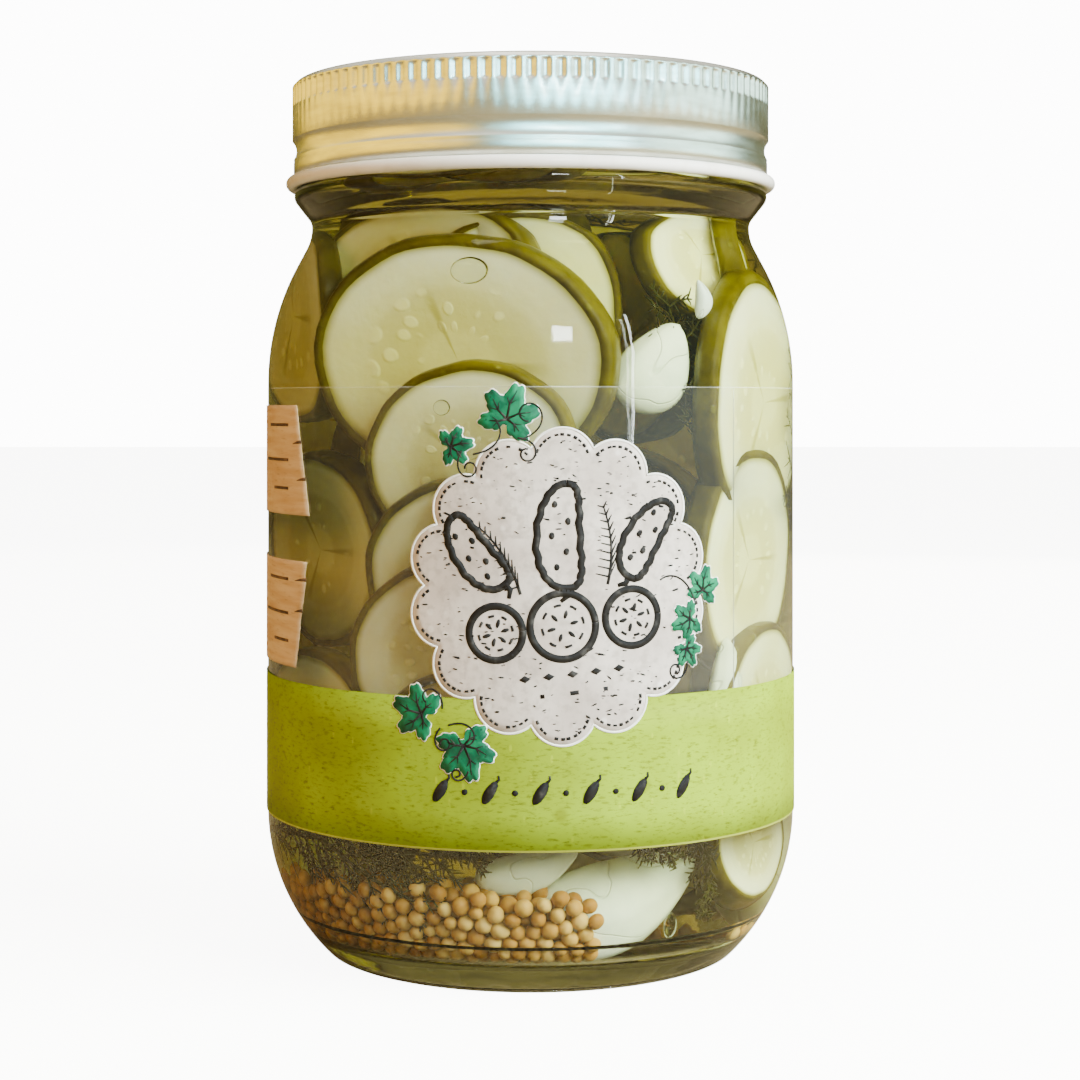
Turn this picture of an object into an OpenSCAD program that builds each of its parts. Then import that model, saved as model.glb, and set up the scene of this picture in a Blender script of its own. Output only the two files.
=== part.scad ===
// Pickle jar: a one-pint clear glass jar with a one-piece pressed metal lid,
// filled with brine, and a printed clear label wrapped round its straight wall.
// The origin is the centre of the base. Z points up and -Y is the front of the label.

/* [Glass jar] */
// Outside diameter of the straight wall
body_d = 78.4; // [76:0.2:100]
// Height of the straight wall, from the heel to the shoulder
wall_h = 62.8; // [46:0.2:90]
// Thickness of the glass
glass_t = 2.8; // [2:0.1:3.6]
// Height of the rounded heel
heel_h = 21; // [17:0.5:26]
// Radius of the arc that rounds the heel
heel_arc_r = 29; // [27:0.5:34]
// Radius of the rounding between the heel and the foot ring
foot_arc_r = 1.5; // [0.8:0.1:2]
// Width of the flat foot ring
foot_ring_w = 2.5; // [1.5:0.1:4]
// Height of the hollow pushed up under the base
punt_h = 3; // [1.5:0.1:3.4]
// Height of the glass floor above the foot ring
floor_t = 5; // [4.6:0.1:7]
// Rise of the glass floor at its centre
floor_rise = 2; // [0.5:0.1:3]
// Radius of the rounding between the inner wall and the floor
floor_arc_r = 5; // [3:0.5:6]
// Radius of the arc that rounds the shoulder
shoulder_arc_r = 36.7; // [28:0.1:44]
// Lean of the shoulder where it is steepest, from vertical
shoulder_lean = 28; // [24:1:40]

/* [Mouth of the jar] */
// Outside diameter of the mouth, inside the lid
mouth_d = 68.2; // [56:0.1:70]
// Depth of the waist below the mouth, on the radius
waist_in = 1.4; // [0.8:0.1:2]
// Radius of the hollow curve from the shoulder into the waist
waist_arc_r = 6.8; // [4:0.1:9]
// Radius of the hollow curve from the waist up to the bead
bead_root_r = 2.2; // [1.4:0.1:3]
// Reach of the bead beyond the mouth, on the radius
bead_out = 1.2; // [0.8:0.1:1.4]
// Radius of the rounded bead
bead_arc_r = 1.5; // [1.4:0.1:1.8]
// Lean of the underside of the bead, from vertical
bead_lean = 38; // [32:1:50]
// Height of the mouth, from the bead to the rim
mouth_h = 16.6; // [13.5:0.1:20]
// Radius of the rounded edges of the rim
rim_arc_r = 1.2; // [0.6:0.1:1.6]

/* [Lid] */
// Thickness of the top panel
panel_t = 0.35; // [0.25:0.05:0.6]
// Thickness of the skirt over its pressed ribs
skirt_t = 0.95; // [0.8:0.05:1.2]
// Gap between the mouth and the skirt
lid_gap = 0.55; // [0.3:0.05:0.9]
// Radius of the rounded top corner
lid_corner_r = 1.3; // [0.8:0.1:1.6]
// Depth of the recess in the top panel
recess_h = 0.8; // [0.4:0.1:1.4]
// Gap between the recess and the bore of the mouth
recess_gap = 0.6; // [0.4:0.1:2]
// Width of the sloped edge of the recess
recess_slope_w = 0.7; // [0.4:0.1:1.5]
// Number of pressed flutes round the skirt
flutes = 108; // [80:1:120]
// Radius of each flute
flute_r = 0.8; // [0.5:0.05:0.9]
// Depth of each flute
flute_depth = 0.35; // [0.2:0.05:0.45]
// Height of the band of flutes
flute_h = 3.2; // [2.5:0.1:4.5]
// Distance from the top of the lid to the flutes
flute_drop = 0.75; // [0.5:0.05:1.5]
// Height of the groove above the curled hem
groove_lift = 4.85; // [4.4:0.05:6]
// Width of the groove
groove_w = 3.2; // [2:0.1:3.6]
// Depth of the groove
groove_depth = 0.6; // [0.3:0.05:0.65]
// Inset of the band below the groove
low_band_in = 0.2; // [0:0.05:0.3]
// Radius of the curled hem
hem_r = 0.95; // [0.8:0.05:1.2]
// Height of the hem above the bead of the jar
hem_lift = 1.9; // [1.9:0.1:3]

/* [Filling] */
// Air space between the brine and the rim
headspace = 12; // [8:0.5:16]

/* [Label] */
// Thickness of the clear film
film_t = 0.1; // [0.08:0.01:0.2]
// Thickness of the printed layer on the film
print_t = 0.1; // [0.08:0.01:0.2]
// Gap between the film and the heel
film_low_gap = 0.1; // [0.1:0.1:3]
// Gap between the film and the shoulder
film_top_gap = 0.8; // [0.2:0.1:4]
// Height of the printed band
band_h = 20.4; // [12:0.1:24]
// Turn of the medallion away from the front
medallion_turn = 6.2; // [-30:0.1:30]
// Number of lobes round the scalloped medallion
lobes = 14; // [10:1:18]
// Radius of each lobe
lobe_r = 4.6; // [4.2:0.1:5.5]
// Overlap of the medallion on the band
medallion_overlap = 6.8; // [2:0.1:10]
// Gap between the medallion and the top of the film
medallion_top_gap = 4.9; // [1:0.1:10]
// Turn of the side boards away from the front
boards_turn = -77; // [-100:1:-60]
// Width of the side boards, along the label
board_w = 31; // [20:1:40]
// Slant of the ends of each board
board_slant = 1.6; // [0:0.1:3]
// Gap between the upper board and the top of the film
upper_board_gap = 2.4; // [1:0.1:6]
// Height of the upper board, as a share of the label above the band
upper_board_share = 0.376; // [0.25:0.002:0.4]
// Gap between the band and the lower board
lower_board_gap = 2; // [1:0.1:4]
// Height of the lower board, as a share of the label above the band
lower_board_share = 0.366; // [0.25:0.002:0.4]

/* [Hidden] */
$fn = 128;

// Most that the straight steps of an arc may cut inside its true line
arc_sag = 0.01;
body_r = body_d / 2;
mouth_r = mouth_d / 2;
waist_r = mouth_r - waist_in;
bead_r = mouth_r + bead_out;
bore_r = waist_r - glass_t;

// Heights of the jar, from the base up
shoulder_z = heel_h + wall_h;
slope_top_r = waist_r + waist_arc_r * (1 - cos(shoulder_lean));
slope_low_r = body_r - shoulder_arc_r * (1 - cos(shoulder_lean));
slope_h = (slope_low_r - slope_top_r) / tan(shoulder_lean);
waist_z = shoulder_z + (shoulder_arc_r + waist_arc_r) * sin(shoulder_lean) + slope_h;
flare_low_r = waist_r + bead_root_r * (1 - cos(bead_lean));
flare_top_r = bead_r - bead_arc_r * (1 - cos(bead_lean));
flare_h = (flare_top_r - flare_low_r) / tan(bead_lean);
bead_z = waist_z + (bead_root_r + bead_arc_r) * sin(bead_lean) + flare_h;
rim_z = bead_z + mouth_h;
fill_z = rim_z - headspace;

// Centres of the arcs of the heel, the foot and the inner corner
heel_x = body_r - heel_arc_r;
heel_in_r = heel_arc_r - glass_t;
foot_x = heel_x + sqrt(pow(heel_arc_r - foot_arc_r, 2) - pow(heel_h - foot_arc_r, 2));
foot_turn = atan2(foot_arc_r - heel_h, foot_x - heel_x);
corner_z = floor_t + floor_arc_r;
corner_x = heel_x + sqrt(pow(heel_in_r - floor_arc_r, 2) - pow(heel_h - corner_z, 2));
corner_turn = atan2(corner_z - heel_h, corner_x - heel_x);
punt_w = foot_x - foot_ring_w;

// Sizes of the lid, from the rim down
lid_in_r = mouth_r + lid_gap;
lid_r = lid_in_r + skirt_t;
lid_top_z = rim_z + panel_t;
hem_z = bead_z + hem_lift;
hem_x = lid_in_r + hem_r;
low_band_r = lid_r - low_band_in;
groove_z = hem_z + groove_lift;
groove_r = (pow(groove_w / 2, 2) + pow(groove_depth, 2)) / (2 * groove_depth);
groove_x = lid_r - groove_depth + groove_r;
recess_r = bore_r - recess_gap;
flute_top_z = lid_top_z - flute_drop;

// Sizes of the label, from the film's own edges
film_low_z = heel_h + film_low_gap;
film_top_z = shoulder_z - film_top_gap;
film_r = body_r + film_t;
print_r = film_r + print_t;
band_top_z = film_low_z + band_h;
medallion_low_z = band_top_z - medallion_overlap;
medallion_top_z = film_top_z - medallion_top_gap;
medallion_z = (medallion_low_z + medallion_top_z) / 2;
medallion_r = (medallion_top_z - medallion_low_z) / 2;
boards_h = film_top_z - band_top_z;
upper_board_h = boards_h * upper_board_share;
lower_board_h = boards_h * lower_board_share;
upper_board_z = film_top_z - upper_board_gap - upper_board_h / 2;
lower_board_z = band_top_z + lower_board_gap + lower_board_h / 2;
degrees_per_mm = 180 / (PI * print_r);

// Points along an arc from angle a0 to angle a1, both ends included
function arc(x, z, r, a0, a1) =
    let (steps = max(2, ceil(abs(a1 - a0) / (2 * acos(1 - arc_sag / r)))))
    [for (i = [0:steps]) let (a = a0 + (a1 - a0) * i / steps) [x + r * cos(a), z + r * sin(a)]];

// Points along a shallow dome from the axis out to r, standing h above its edge at z
function dome(r, h, z) =
    let (ball_r = (r * r + h * h) / (2 * h), low = z + h - ball_r)
    arc(0, low, ball_r, 90, atan2(ball_r - h, r));

// Where the curve of a bead meets the wall above it, as an angle of the bead's arc
function bead_end(wall_r) = acos((wall_r - bead_r + bead_arc_r) / bead_arc_r);

// The outer line of the glass, from the axis under the base to the rim
function outer_line() = concat(
    dome(punt_w, punt_h, 0),
    arc(foot_x, foot_arc_r, foot_arc_r, -90, foot_turn),
    arc(heel_x, heel_h, heel_arc_r, foot_turn, 0),
    arc(body_r - shoulder_arc_r, shoulder_z, shoulder_arc_r, 0, shoulder_lean),
    arc(waist_r + waist_arc_r, waist_z, waist_arc_r, 180 + shoulder_lean, 180),
    arc(waist_r + bead_root_r, waist_z, bead_root_r, 180, 180 - bead_lean),
    arc(bead_r - bead_arc_r, bead_z, bead_arc_r, -bead_lean, bead_end(mouth_r)),
    arc(mouth_r - rim_arc_r, rim_z - rim_arc_r, rim_arc_r, 0, 90));

// The inner line of the glass, from the axis on the floor up to the waist
function inner_line() = concat(
    dome(corner_x, floor_rise, floor_t),
    arc(corner_x, corner_z, floor_arc_r, -90, corner_turn),
    arc(heel_x, heel_h, heel_in_r, corner_turn, 0),
    arc(body_r - shoulder_arc_r, shoulder_z, shoulder_arc_r - glass_t, 0, shoulder_lean),
    arc(waist_r + waist_arc_r, waist_z, waist_arc_r + glass_t, 180 + shoulder_lean, 180));

// The same points from the last to the first
function reversed(points) = [for (i = [len(points) - 1:-1:0]) points[i]];

// A thin layer wrapped right round the straight wall
module wrap(inner_r, thickness, low, top) {
    rotate_extrude()
        translate([inner_r, low])
            square([thickness, top - low]);
}

// A flat outline pushed radially through the wall, at a turn from the front and a height
module stamp(turn, z) {
    rotate([0, 0, turn])
        translate([0, 0, z])
            rotate([90, 0, 0])
                linear_extrude(body_d)
                    children();
}

// The scalloped outline: a disc with a ring of round lobes, spaced evenly along the wrapped label
module scallops() {
    ring_r = medallion_r - lobe_r;
    stamp(medallion_turn, medallion_z) {
        circle(ring_r);
        for (i = [0:lobes - 1]) {
            a = (i + 0.5) * 360 / lobes;
            across = print_r * sin(ring_r * sin(a) * degrees_per_mm);
            translate([across, ring_r * cos(a)])
                circle(lobe_r);
        }
    }
}

// One side board: a four-sided outline with slanting ends
module board(z, h, slant) {
    half_w = board_w / 2;
    intersection() {
        wrap(film_r, print_t, z - h, z + h);
        stamp(boards_turn, z)
            polygon([
                [-half_w, -h / 2],
                [half_w + slant, -h / 2],
                [half_w - slant, h / 2],
                [-half_w, h / 2]]);
    }
}

// The pressed flutes: a ring of upright round cutters
module flute_cutters() {
    cut_x = lid_r - flute_depth + flute_r;
    translate([0, 0, flute_top_z - flute_h])
        linear_extrude(flute_h)
            for (i = [0:flutes - 1])
                rotate(i * 360 / flutes)
                    translate([cut_x, 0])
                        circle(flute_r, $fn = 24);
}

module jar() {
    color([0.86, 0.92, 0.88, 0.4])
        rotate_extrude()
            polygon(concat(
                outer_line(),
                arc(bore_r + rim_arc_r, rim_z - rim_arc_r, rim_arc_r, 90, 180),
                reversed(inner_line())));
}

module lid() {
    color([0.74, 0.72, 0.62])
        difference() {
            rotate_extrude()
                polygon(concat(
                    [[0, lid_top_z - recess_h],
                        [recess_r - recess_slope_w, lid_top_z - recess_h],
                        [recess_r, lid_top_z]],
                    arc(lid_r - lid_corner_r, lid_top_z - lid_corner_r, lid_corner_r, 90, 0),
                    groove_line(),
                    hem_line(),
                    [[lid_in_r, rim_z],
                        [recess_r, rim_z],
                        [recess_r - recess_slope_w, rim_z - recess_h],
                        [0, rim_z - recess_h]]));
            flute_cutters();
        }
}

// The round groove of the skirt, from the upper band to the lower band
function groove_line() =
    let (
        upper = acos((groove_x - lid_r) / groove_r),
        lower = acos((groove_x - low_band_r) / groove_r))
    arc(groove_x, groove_z, groove_r, 180 - upper, 180 + lower);

// The curled hem, from the lower band round to the inside of the skirt
function hem_line() =
    arc(hem_x, hem_z, hem_r, acos((low_band_r - hem_x) / hem_r), -180);

module filling() {
    color([0.62, 0.6, 0.2])
        rotate_extrude()
            polygon(concat(inner_line(), [[bore_r, fill_z], [0, fill_z]]));
}

module label_film() {
    color([0.95, 0.96, 0.95, 0.3])
        wrap(body_r, film_t, film_low_z, film_top_z);
}

module label_band() {
    color([0.62, 0.66, 0.1])
        difference() {
            wrap(film_r, print_t, film_low_z, band_top_z);
            scallops();
        }
}

module label_medallion() {
    color([0.88, 0.84, 0.83])
        intersection() {
            wrap(film_r, print_t, film_low_z, film_top_z);
            scallops();
        }
}

module label_board_upper() {
    color([0.82, 0.68, 0.52])
        board(upper_board_z, upper_board_h, board_slant);
}

module label_board_lower() {
    color([0.82, 0.68, 0.52])
        board(lower_board_z, lower_board_h, -board_slant);
}

jar();
lid();
filling();
label_film();
label_band();
label_medallion();
label_board_upper();
label_board_lower();
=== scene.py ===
# %% [markdown]
# # A jar of pickle slices
# The jar is clear glass with a pressed metal lid, a printed clear label wrapped round its straight wall,
# and brine with pickle slices, garlic, mustard seed and dill in it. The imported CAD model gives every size.
# Lengths are written in millimetres and turned into metres when a mesh is made.

# %% Load the CAD model
import math

import bmesh
import bpy
import numpy as np
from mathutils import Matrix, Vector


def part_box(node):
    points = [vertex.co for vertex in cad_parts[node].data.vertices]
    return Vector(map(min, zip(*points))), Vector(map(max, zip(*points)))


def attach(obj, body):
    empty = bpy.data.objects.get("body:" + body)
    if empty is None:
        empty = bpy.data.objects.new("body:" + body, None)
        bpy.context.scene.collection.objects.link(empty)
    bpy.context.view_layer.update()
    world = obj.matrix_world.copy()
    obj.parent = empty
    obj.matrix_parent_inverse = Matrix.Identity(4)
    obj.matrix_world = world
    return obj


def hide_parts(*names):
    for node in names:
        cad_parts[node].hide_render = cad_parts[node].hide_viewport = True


MM = 0.001
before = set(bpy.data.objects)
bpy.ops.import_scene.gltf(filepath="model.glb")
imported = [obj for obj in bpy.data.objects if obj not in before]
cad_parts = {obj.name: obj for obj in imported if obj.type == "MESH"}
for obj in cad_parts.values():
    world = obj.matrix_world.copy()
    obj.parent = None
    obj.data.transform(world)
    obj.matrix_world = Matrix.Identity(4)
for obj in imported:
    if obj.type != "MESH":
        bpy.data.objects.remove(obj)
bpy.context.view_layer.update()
chance = np.random.default_rng(11)


def box_mm(name):
    """The lowest and highest corner of a CAD node, in millimetres."""
    low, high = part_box(name)
    return [v / MM for v in low], [v / MM for v in high]


body_r = box_mm("jar")[1][0]
rim_z = box_mm("jar")[1][2]
fill_z = box_mm("filling")[1][2]
lid_top_z = box_mm("lid")[1][2]
film_low_z = box_mm("label_film")[0][2]
film_top_z = box_mm("label_film")[1][2]
film_r = box_mm("label_film")[1][0]
band_top_z = box_mm("label_band")[1][2]
print_r = box_mm("label_band")[1][0]
medallion_low_z = box_mm("label_medallion")[0][2]
medallion_top_z = box_mm("label_medallion")[1][2]
print("glass radius %.1f, rim at %.1f, brine up to %.1f" % (body_r, rim_z, fill_z))

# %% [markdown]
# ## Mesh helpers
# A jar is turned, so its glass, brine, film and lid are lines swept round the axis. A sweep could be a
# Screw modifier, but writing the rings directly lets each ring share the same steps as its neighbours, and
# thin layers that share their steps never cut through each other.

# %% Helpers that make meshes
STEPS = 192


def new_piece(name, verts, faces, slot):
    """A smooth mesh object from points in millimetres, riding on the jar."""
    mesh = bpy.data.meshes.new(name)
    mesh.from_pydata((np.asarray(verts, float) * MM).tolist(), [], faces)
    mesh.shade_smooth()
    piece = bpy.data.objects.new(name, mesh)
    bpy.context.scene.collection.objects.link(piece)
    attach(piece, "root")
    print("%s: %d faces" % (name, len(mesh.polygons)))
    return piece


def arc(x, z, r, start, end, step=3.0):
    """Points on an arc between two angles in degrees, both ends included."""
    count = max(2, math.ceil(abs(end - start) / step))
    angles = np.radians(np.linspace(start, end, count + 1))
    return [(x + r * math.cos(a), z + r * math.sin(a)) for a in angles]


def dome(r, h, z):
    """Points of a shallow dome from the axis out to r, standing h above its edge."""
    ball = (r * r + h * h) / (2 * h)
    return arc(0, z + h - ball, ball, 90, math.degrees(math.atan2(ball - h, r)), 0.5)


def sweep(line, steps=STEPS, closed=False, dent=None):
    """Verts and faces of a line of (radius, height) swept round the axis."""
    verts, rows, faces = [], [], []
    turns = np.linspace(0, 2 * math.pi, steps, endpoint=False)
    for r, z in line:
        if r < 1e-6:
            rows.append([len(verts)] * steps)
            verts.append((0.0, 0.0, z))
            continue
        rows.append(list(range(len(verts), len(verts) + steps)))
        for a in turns:
            ring_r = r - dent(a, r, z) if dent else r
            verts.append((ring_r * math.sin(a), -ring_r * math.cos(a), z))
    pairs = list(zip(rows, rows[1:])) + ([(rows[-1], rows[0])] if closed else [])
    for low, high in pairs:
        for i in range(steps):
            j = (i + 1) % steps
            face = tuple(dict.fromkeys((low[i], low[j], high[j], high[i])))
            if len(face) > 2:
                faces.append(face)
    return verts, faces


def joined(parts):
    """One list of verts and one of faces from several."""
    verts, faces = [], []
    for part_verts, part_faces in parts:
        start = len(verts)
        verts.extend(part_verts)
        faces.extend(tuple(start + k for k in face) for face in part_faces)
    return verts, faces


# %% [markdown]
# ## Material helpers
# Each finish is a Principled shader with small node groups that add what the real surface has: mottling,
# flecks and fine bumps. A group is built once and reused with its own numbers in each material.

# %% Helpers that make materials


def paint(red, green, blue):
    """A colour given as seen on a screen, 0 to 1, turned into the linear values that shaders use."""
    return tuple(
        c / 12.92 if c < 0.04045 else ((c + 0.055) / 1.055) ** 2.4 for c in (red, green, blue)
    ) + (1.0,)


def add(tree, kind, inputs=None, **settings):
    """A new node with its settings and inputs; an input is a value or another node's output."""
    made = tree.nodes.new(kind)
    for key, value in settings.items():
        setattr(made, key, value)
    for key, value in (inputs or {}).items():
        if isinstance(value, bpy.types.NodeSocket):
            tree.links.new(value, made.inputs[key])
        else:
            made.inputs[key].default_value = value
    return made


def mixed(tree, factor, first, second, how="MIX"):
    """The colour between two, by a factor."""
    made = add(tree, "ShaderNodeMix", {0: factor, 6: first, 7: second}, data_type="RGBA", blend_type=how)
    return made.outputs[2]


def sums(tree, how, first, second):
    """One Math node."""
    return add(tree, "ShaderNodeMath", {0: first, 1: second}, operation=how, use_clamp=False).outputs[0]


def times(tree, first, second):
    """One number times another."""
    return sums(tree, "MULTIPLY", first, second)


def ranged(tree, value, low, high, out_low=0.0, out_high=1.0):
    """A value stretched from one range to another, smoothly, and held at its ends."""
    inputs = {"Value": value, "From Min": low, "From Max": high, "To Min": out_low, "To Max": out_high}
    return add(tree, "ShaderNodeMapRange", inputs, interpolation_type="SMOOTHSTEP").outputs["Result"]


def finish_of(name, colour, roughness, **values):
    """A new material, its node tree and its Principled shader."""
    made = bpy.data.materials.new(name)
    made.use_nodes = True
    shader = made.node_tree.nodes["Principled BSDF"]
    shader.inputs["Base Color"].default_value = colour
    shader.inputs["Roughness"].default_value = roughness
    for key, value in values.items():
        shader.inputs[key.replace("_", " ")].default_value = value
    return made, made.node_tree, shader


def place_in(tree):
    """The point on the piece, in metres in the jar's own frame."""
    return add(tree, "ShaderNodeTexCoord").outputs["Object"]


def new_group(name, inputs, outputs):
    """An empty node group with named number or vector sockets."""
    made = bpy.data.node_groups.new(name, "ShaderNodeTree")
    for key, value in inputs.items():
        kind = "NodeSocketVector" if value is None else "NodeSocketFloat"
        socket = made.interface.new_socket(key, in_out="INPUT", socket_type=kind)
        if value is not None:
            socket.default_value = value
    for key in outputs:
        made.interface.new_socket(key, in_out="OUTPUT", socket_type="NodeSocketFloat")
    return made, made.nodes.new("NodeGroupInput"), made.nodes.new("NodeGroupOutput")


def use(tree, group, inputs):
    """A node group placed in a tree."""
    made = add(tree, "ShaderNodeGroup", node_tree=group)
    for key, value in inputs.items():
        if isinstance(value, bpy.types.NodeSocket):
            tree.links.new(value, made.inputs[key])
        else:
            made.inputs[key].default_value = value
    return made.outputs


# Flecks: small scattered spots, as in recycled paper. Mottle: soft clouds of light and dark.
flecks, flecks_in, flecks_out = new_group("flecks", {"Place": None, "Scale": 900.0, "Share": 0.1}, ["Mask"])
spots = add(
    flecks, "ShaderNodeTexVoronoi",
    {"Vector": flecks_in.outputs["Place"], "Scale": flecks_in.outputs["Scale"]}
)
spot_tone = add(flecks, "ShaderNodeSeparateColor", {"Color": spots.outputs["Color"]}).outputs[0]
chosen = sums(flecks, "LESS_THAN", spot_tone, flecks_in.outputs["Share"])
near = ranged(flecks, spots.outputs["Distance"], 0.32, 0.14)
flecks.links.new(times(flecks, chosen, near), flecks_out.inputs["Mask"])

mottle, mottle_in, mottle_out = new_group(
    "mottle", {"Place": None, "Scale": 120.0, "Low": 0.35, "High": 0.65}, ["Mask"]
)
clouds = add(
    mottle, "ShaderNodeTexNoise",
    {"Vector": mottle_in.outputs["Place"], "Scale": mottle_in.outputs["Scale"], "Detail": 4.0}
)
soft = ranged(mottle, clouds.outputs["Fac"], mottle_in.outputs["Low"], mottle_in.outputs["High"])
mottle.links.new(soft, mottle_out.inputs["Mask"])


def mottled(tree, place, scale, low, high):
    """Soft clouds, 0 to 1, at a scale; low and high set how hard their edges are."""
    return use(tree, mottle, {"Place": place, "Scale": scale, "Low": low, "High": high})["Mask"]


def flecked(tree, place, scale, share):
    """Small spots, 0 or 1 with soft rims, that cover a share of the cells at a scale."""
    return use(tree, flecks, {"Place": place, "Scale": scale, "Share": share})["Mask"]


def coloured(tree, shader, colour):
    """Sends a colour to the shader's base colour."""
    tree.links.new(colour, shader.inputs["Base Color"])


def bumped(tree, shader, height, distance, strength=1.0):
    """Sends a height through a Bump node to the shader's normal. The distance is in metres."""
    inputs = {"Height": height, "Distance": distance, "Strength": strength}
    made = add(tree, "ShaderNodeBump", inputs)
    tree.links.new(made.outputs["Normal"], shader.inputs["Normal"])


def lets_light_in(tree, shader, tint):
    """Glass whose shadow is clear: light from outside reaches what is inside, tinted as it passes."""
    path = add(tree, "ShaderNodeLightPath")
    clear = add(tree, "ShaderNodeBsdfTransparent", {"Color": tint})
    inputs = {0: path.outputs["Is Shadow Ray"], 1: shader.outputs[0], 2: clear.outputs[0]}
    both = add(tree, "ShaderNodeMixShader", inputs)
    tree.links.new(both.outputs[0], tree.nodes["Material Output"].inputs["Surface"])


# %% [markdown]
# ## The glass jar
# The jar is blown glass: a straight wall, a rounded heel on a narrow foot ring, a pushed-up base, a rounded
# shoulder and a mouth with a bead. The CAD solid has the same shape in small facets; here the same arcs are
# swept in finer steps, because facets show in anything seen through glass.

# %% The glass
GLASS_T, HEEL_H, HEEL_ARC_R, FOOT_ARC_R, FOOT_RING_W = 2.8, 21.0, 29.0, 1.5, 2.5
PUNT_H, FLOOR_T, FLOOR_RISE, FLOOR_ARC_R = 3.0, 5.0, 2.0, 5.0
SHOULDER_ARC_R, SHOULDER_LEAN, WAIST_IN, WAIST_ARC_R = 36.7, 28.0, 1.4, 6.8
BEAD_ROOT_R, BEAD_OUT, BEAD_ARC_R, BEAD_LEAN, RIM_ARC_R = 2.2, 1.2, 1.5, 38.0, 1.2
MOUTH_R = 34.1
shoulder_z = film_top_z + 0.8
waist_r = MOUTH_R - WAIST_IN
bead_r = MOUTH_R + BEAD_OUT
bore_r = waist_r - GLASS_T


def leaned(r, degrees):
    """How far an arc has come sideways after it has turned by an angle."""
    return r * (1 - math.cos(math.radians(degrees)))


slope_w = body_r - leaned(SHOULDER_ARC_R, SHOULDER_LEAN) - waist_r - leaned(WAIST_ARC_R, SHOULDER_LEAN)
slope_h = slope_w / math.tan(math.radians(SHOULDER_LEAN))
waist_z = shoulder_z + (SHOULDER_ARC_R + WAIST_ARC_R) * math.sin(math.radians(SHOULDER_LEAN)) + slope_h
flare_w = bead_r - leaned(BEAD_ARC_R, BEAD_LEAN) - waist_r - leaned(BEAD_ROOT_R, BEAD_LEAN)
flare_h = flare_w / math.tan(math.radians(BEAD_LEAN))
bead_z = waist_z + (BEAD_ROOT_R + BEAD_ARC_R) * math.sin(math.radians(BEAD_LEAN)) + flare_h
bead_end = math.degrees(math.acos((MOUTH_R - bead_r + BEAD_ARC_R) / BEAD_ARC_R))
heel_x = body_r - HEEL_ARC_R
heel_in_r = HEEL_ARC_R - GLASS_T
foot_x = heel_x + math.sqrt((HEEL_ARC_R - FOOT_ARC_R) ** 2 - (HEEL_H - FOOT_ARC_R) ** 2)
foot_turn = math.degrees(math.atan2(FOOT_ARC_R - HEEL_H, foot_x - heel_x))
corner_z = FLOOR_T + FLOOR_ARC_R
corner_x = heel_x + math.sqrt((heel_in_r - FLOOR_ARC_R) ** 2 - (HEEL_H - corner_z) ** 2)
corner_turn = math.degrees(math.atan2(corner_z - HEEL_H, corner_x - heel_x))

outer_line = (
    dome(foot_x - FOOT_RING_W, PUNT_H, 0)
    + arc(foot_x, FOOT_ARC_R, FOOT_ARC_R, -90, foot_turn, 8)
    + arc(heel_x, HEEL_H, HEEL_ARC_R, foot_turn, 0, 1.5)
    + arc(body_r - SHOULDER_ARC_R, shoulder_z, SHOULDER_ARC_R, 0, SHOULDER_LEAN, 1.5)
    + arc(waist_r + WAIST_ARC_R, waist_z, WAIST_ARC_R, 180 + SHOULDER_LEAN, 180)
    + arc(waist_r + BEAD_ROOT_R, waist_z, BEAD_ROOT_R, 180, 180 - BEAD_LEAN, 6)
    + arc(bead_r - BEAD_ARC_R, bead_z, BEAD_ARC_R, -BEAD_LEAN, bead_end, 8)
    + arc(MOUTH_R - RIM_ARC_R, rim_z - RIM_ARC_R, RIM_ARC_R, 0, 90, 10)
)


def inner_line(into_wall=0.0):
    """The inside of the glass, from the floor's centre to the waist; into_wall moves it into the glass."""
    wall = GLASS_T - into_wall
    return (
        dome(corner_x, FLOOR_RISE, FLOOR_T - into_wall)
        + arc(corner_x, corner_z, FLOOR_ARC_R + into_wall, -90, corner_turn)
        + arc(heel_x, HEEL_H, HEEL_ARC_R - wall, corner_turn, 0, 1.5)
        + arc(body_r - SHOULDER_ARC_R, shoulder_z, SHOULDER_ARC_R - wall, 0, SHOULDER_LEAN, 1.5)
        + arc(waist_r + WAIST_ARC_R, waist_z, WAIST_ARC_R + wall, 180 + SHOULDER_LEAN, 180)
    )


rim_line = arc(bore_r + RIM_ARC_R, rim_z - RIM_ARC_R, RIM_ARC_R, 90, 180, 10)
glass_jar = new_piece("glass_jar", *sweep(outer_line + rim_line + inner_line()[::-1]), "clear_glass")
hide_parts("jar")

glass, tree, shader = finish_of(
    "clear_glass", paint(0.97, 0.985, 0.965), 0.015, IOR=1.5, Transmission_Weight=1.0
)
waves = mottled(tree, place_in(tree), 45.0, 0.2, 0.8)
bumped(tree, shader, waves, 0.00006)
lets_light_in(tree, shader, (0.95, 0.97, 0.94, 1.0))
glass_jar.data.materials.append(glass)

# %% [markdown]
# ## The brine
# The brine is a solid of its own that reaches a little way into the glass, so that light passes from glass
# to brine with no film of air between them. It goes amber-green with depth, which volume absorption gives:
# a tint on the surface alone would make shallow and deep brine the same.

# %% The brine
INTO_GLASS = 0.15
brine_line = inner_line(INTO_GLASS) + [
    (bore_r + INTO_GLASS, fill_z), (bore_r - 0.6, fill_z - 0.25), (0.0, fill_z - 0.3)
]
brine_body = new_piece("brine_body", *sweep(brine_line), "brine")
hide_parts("filling")

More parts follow.
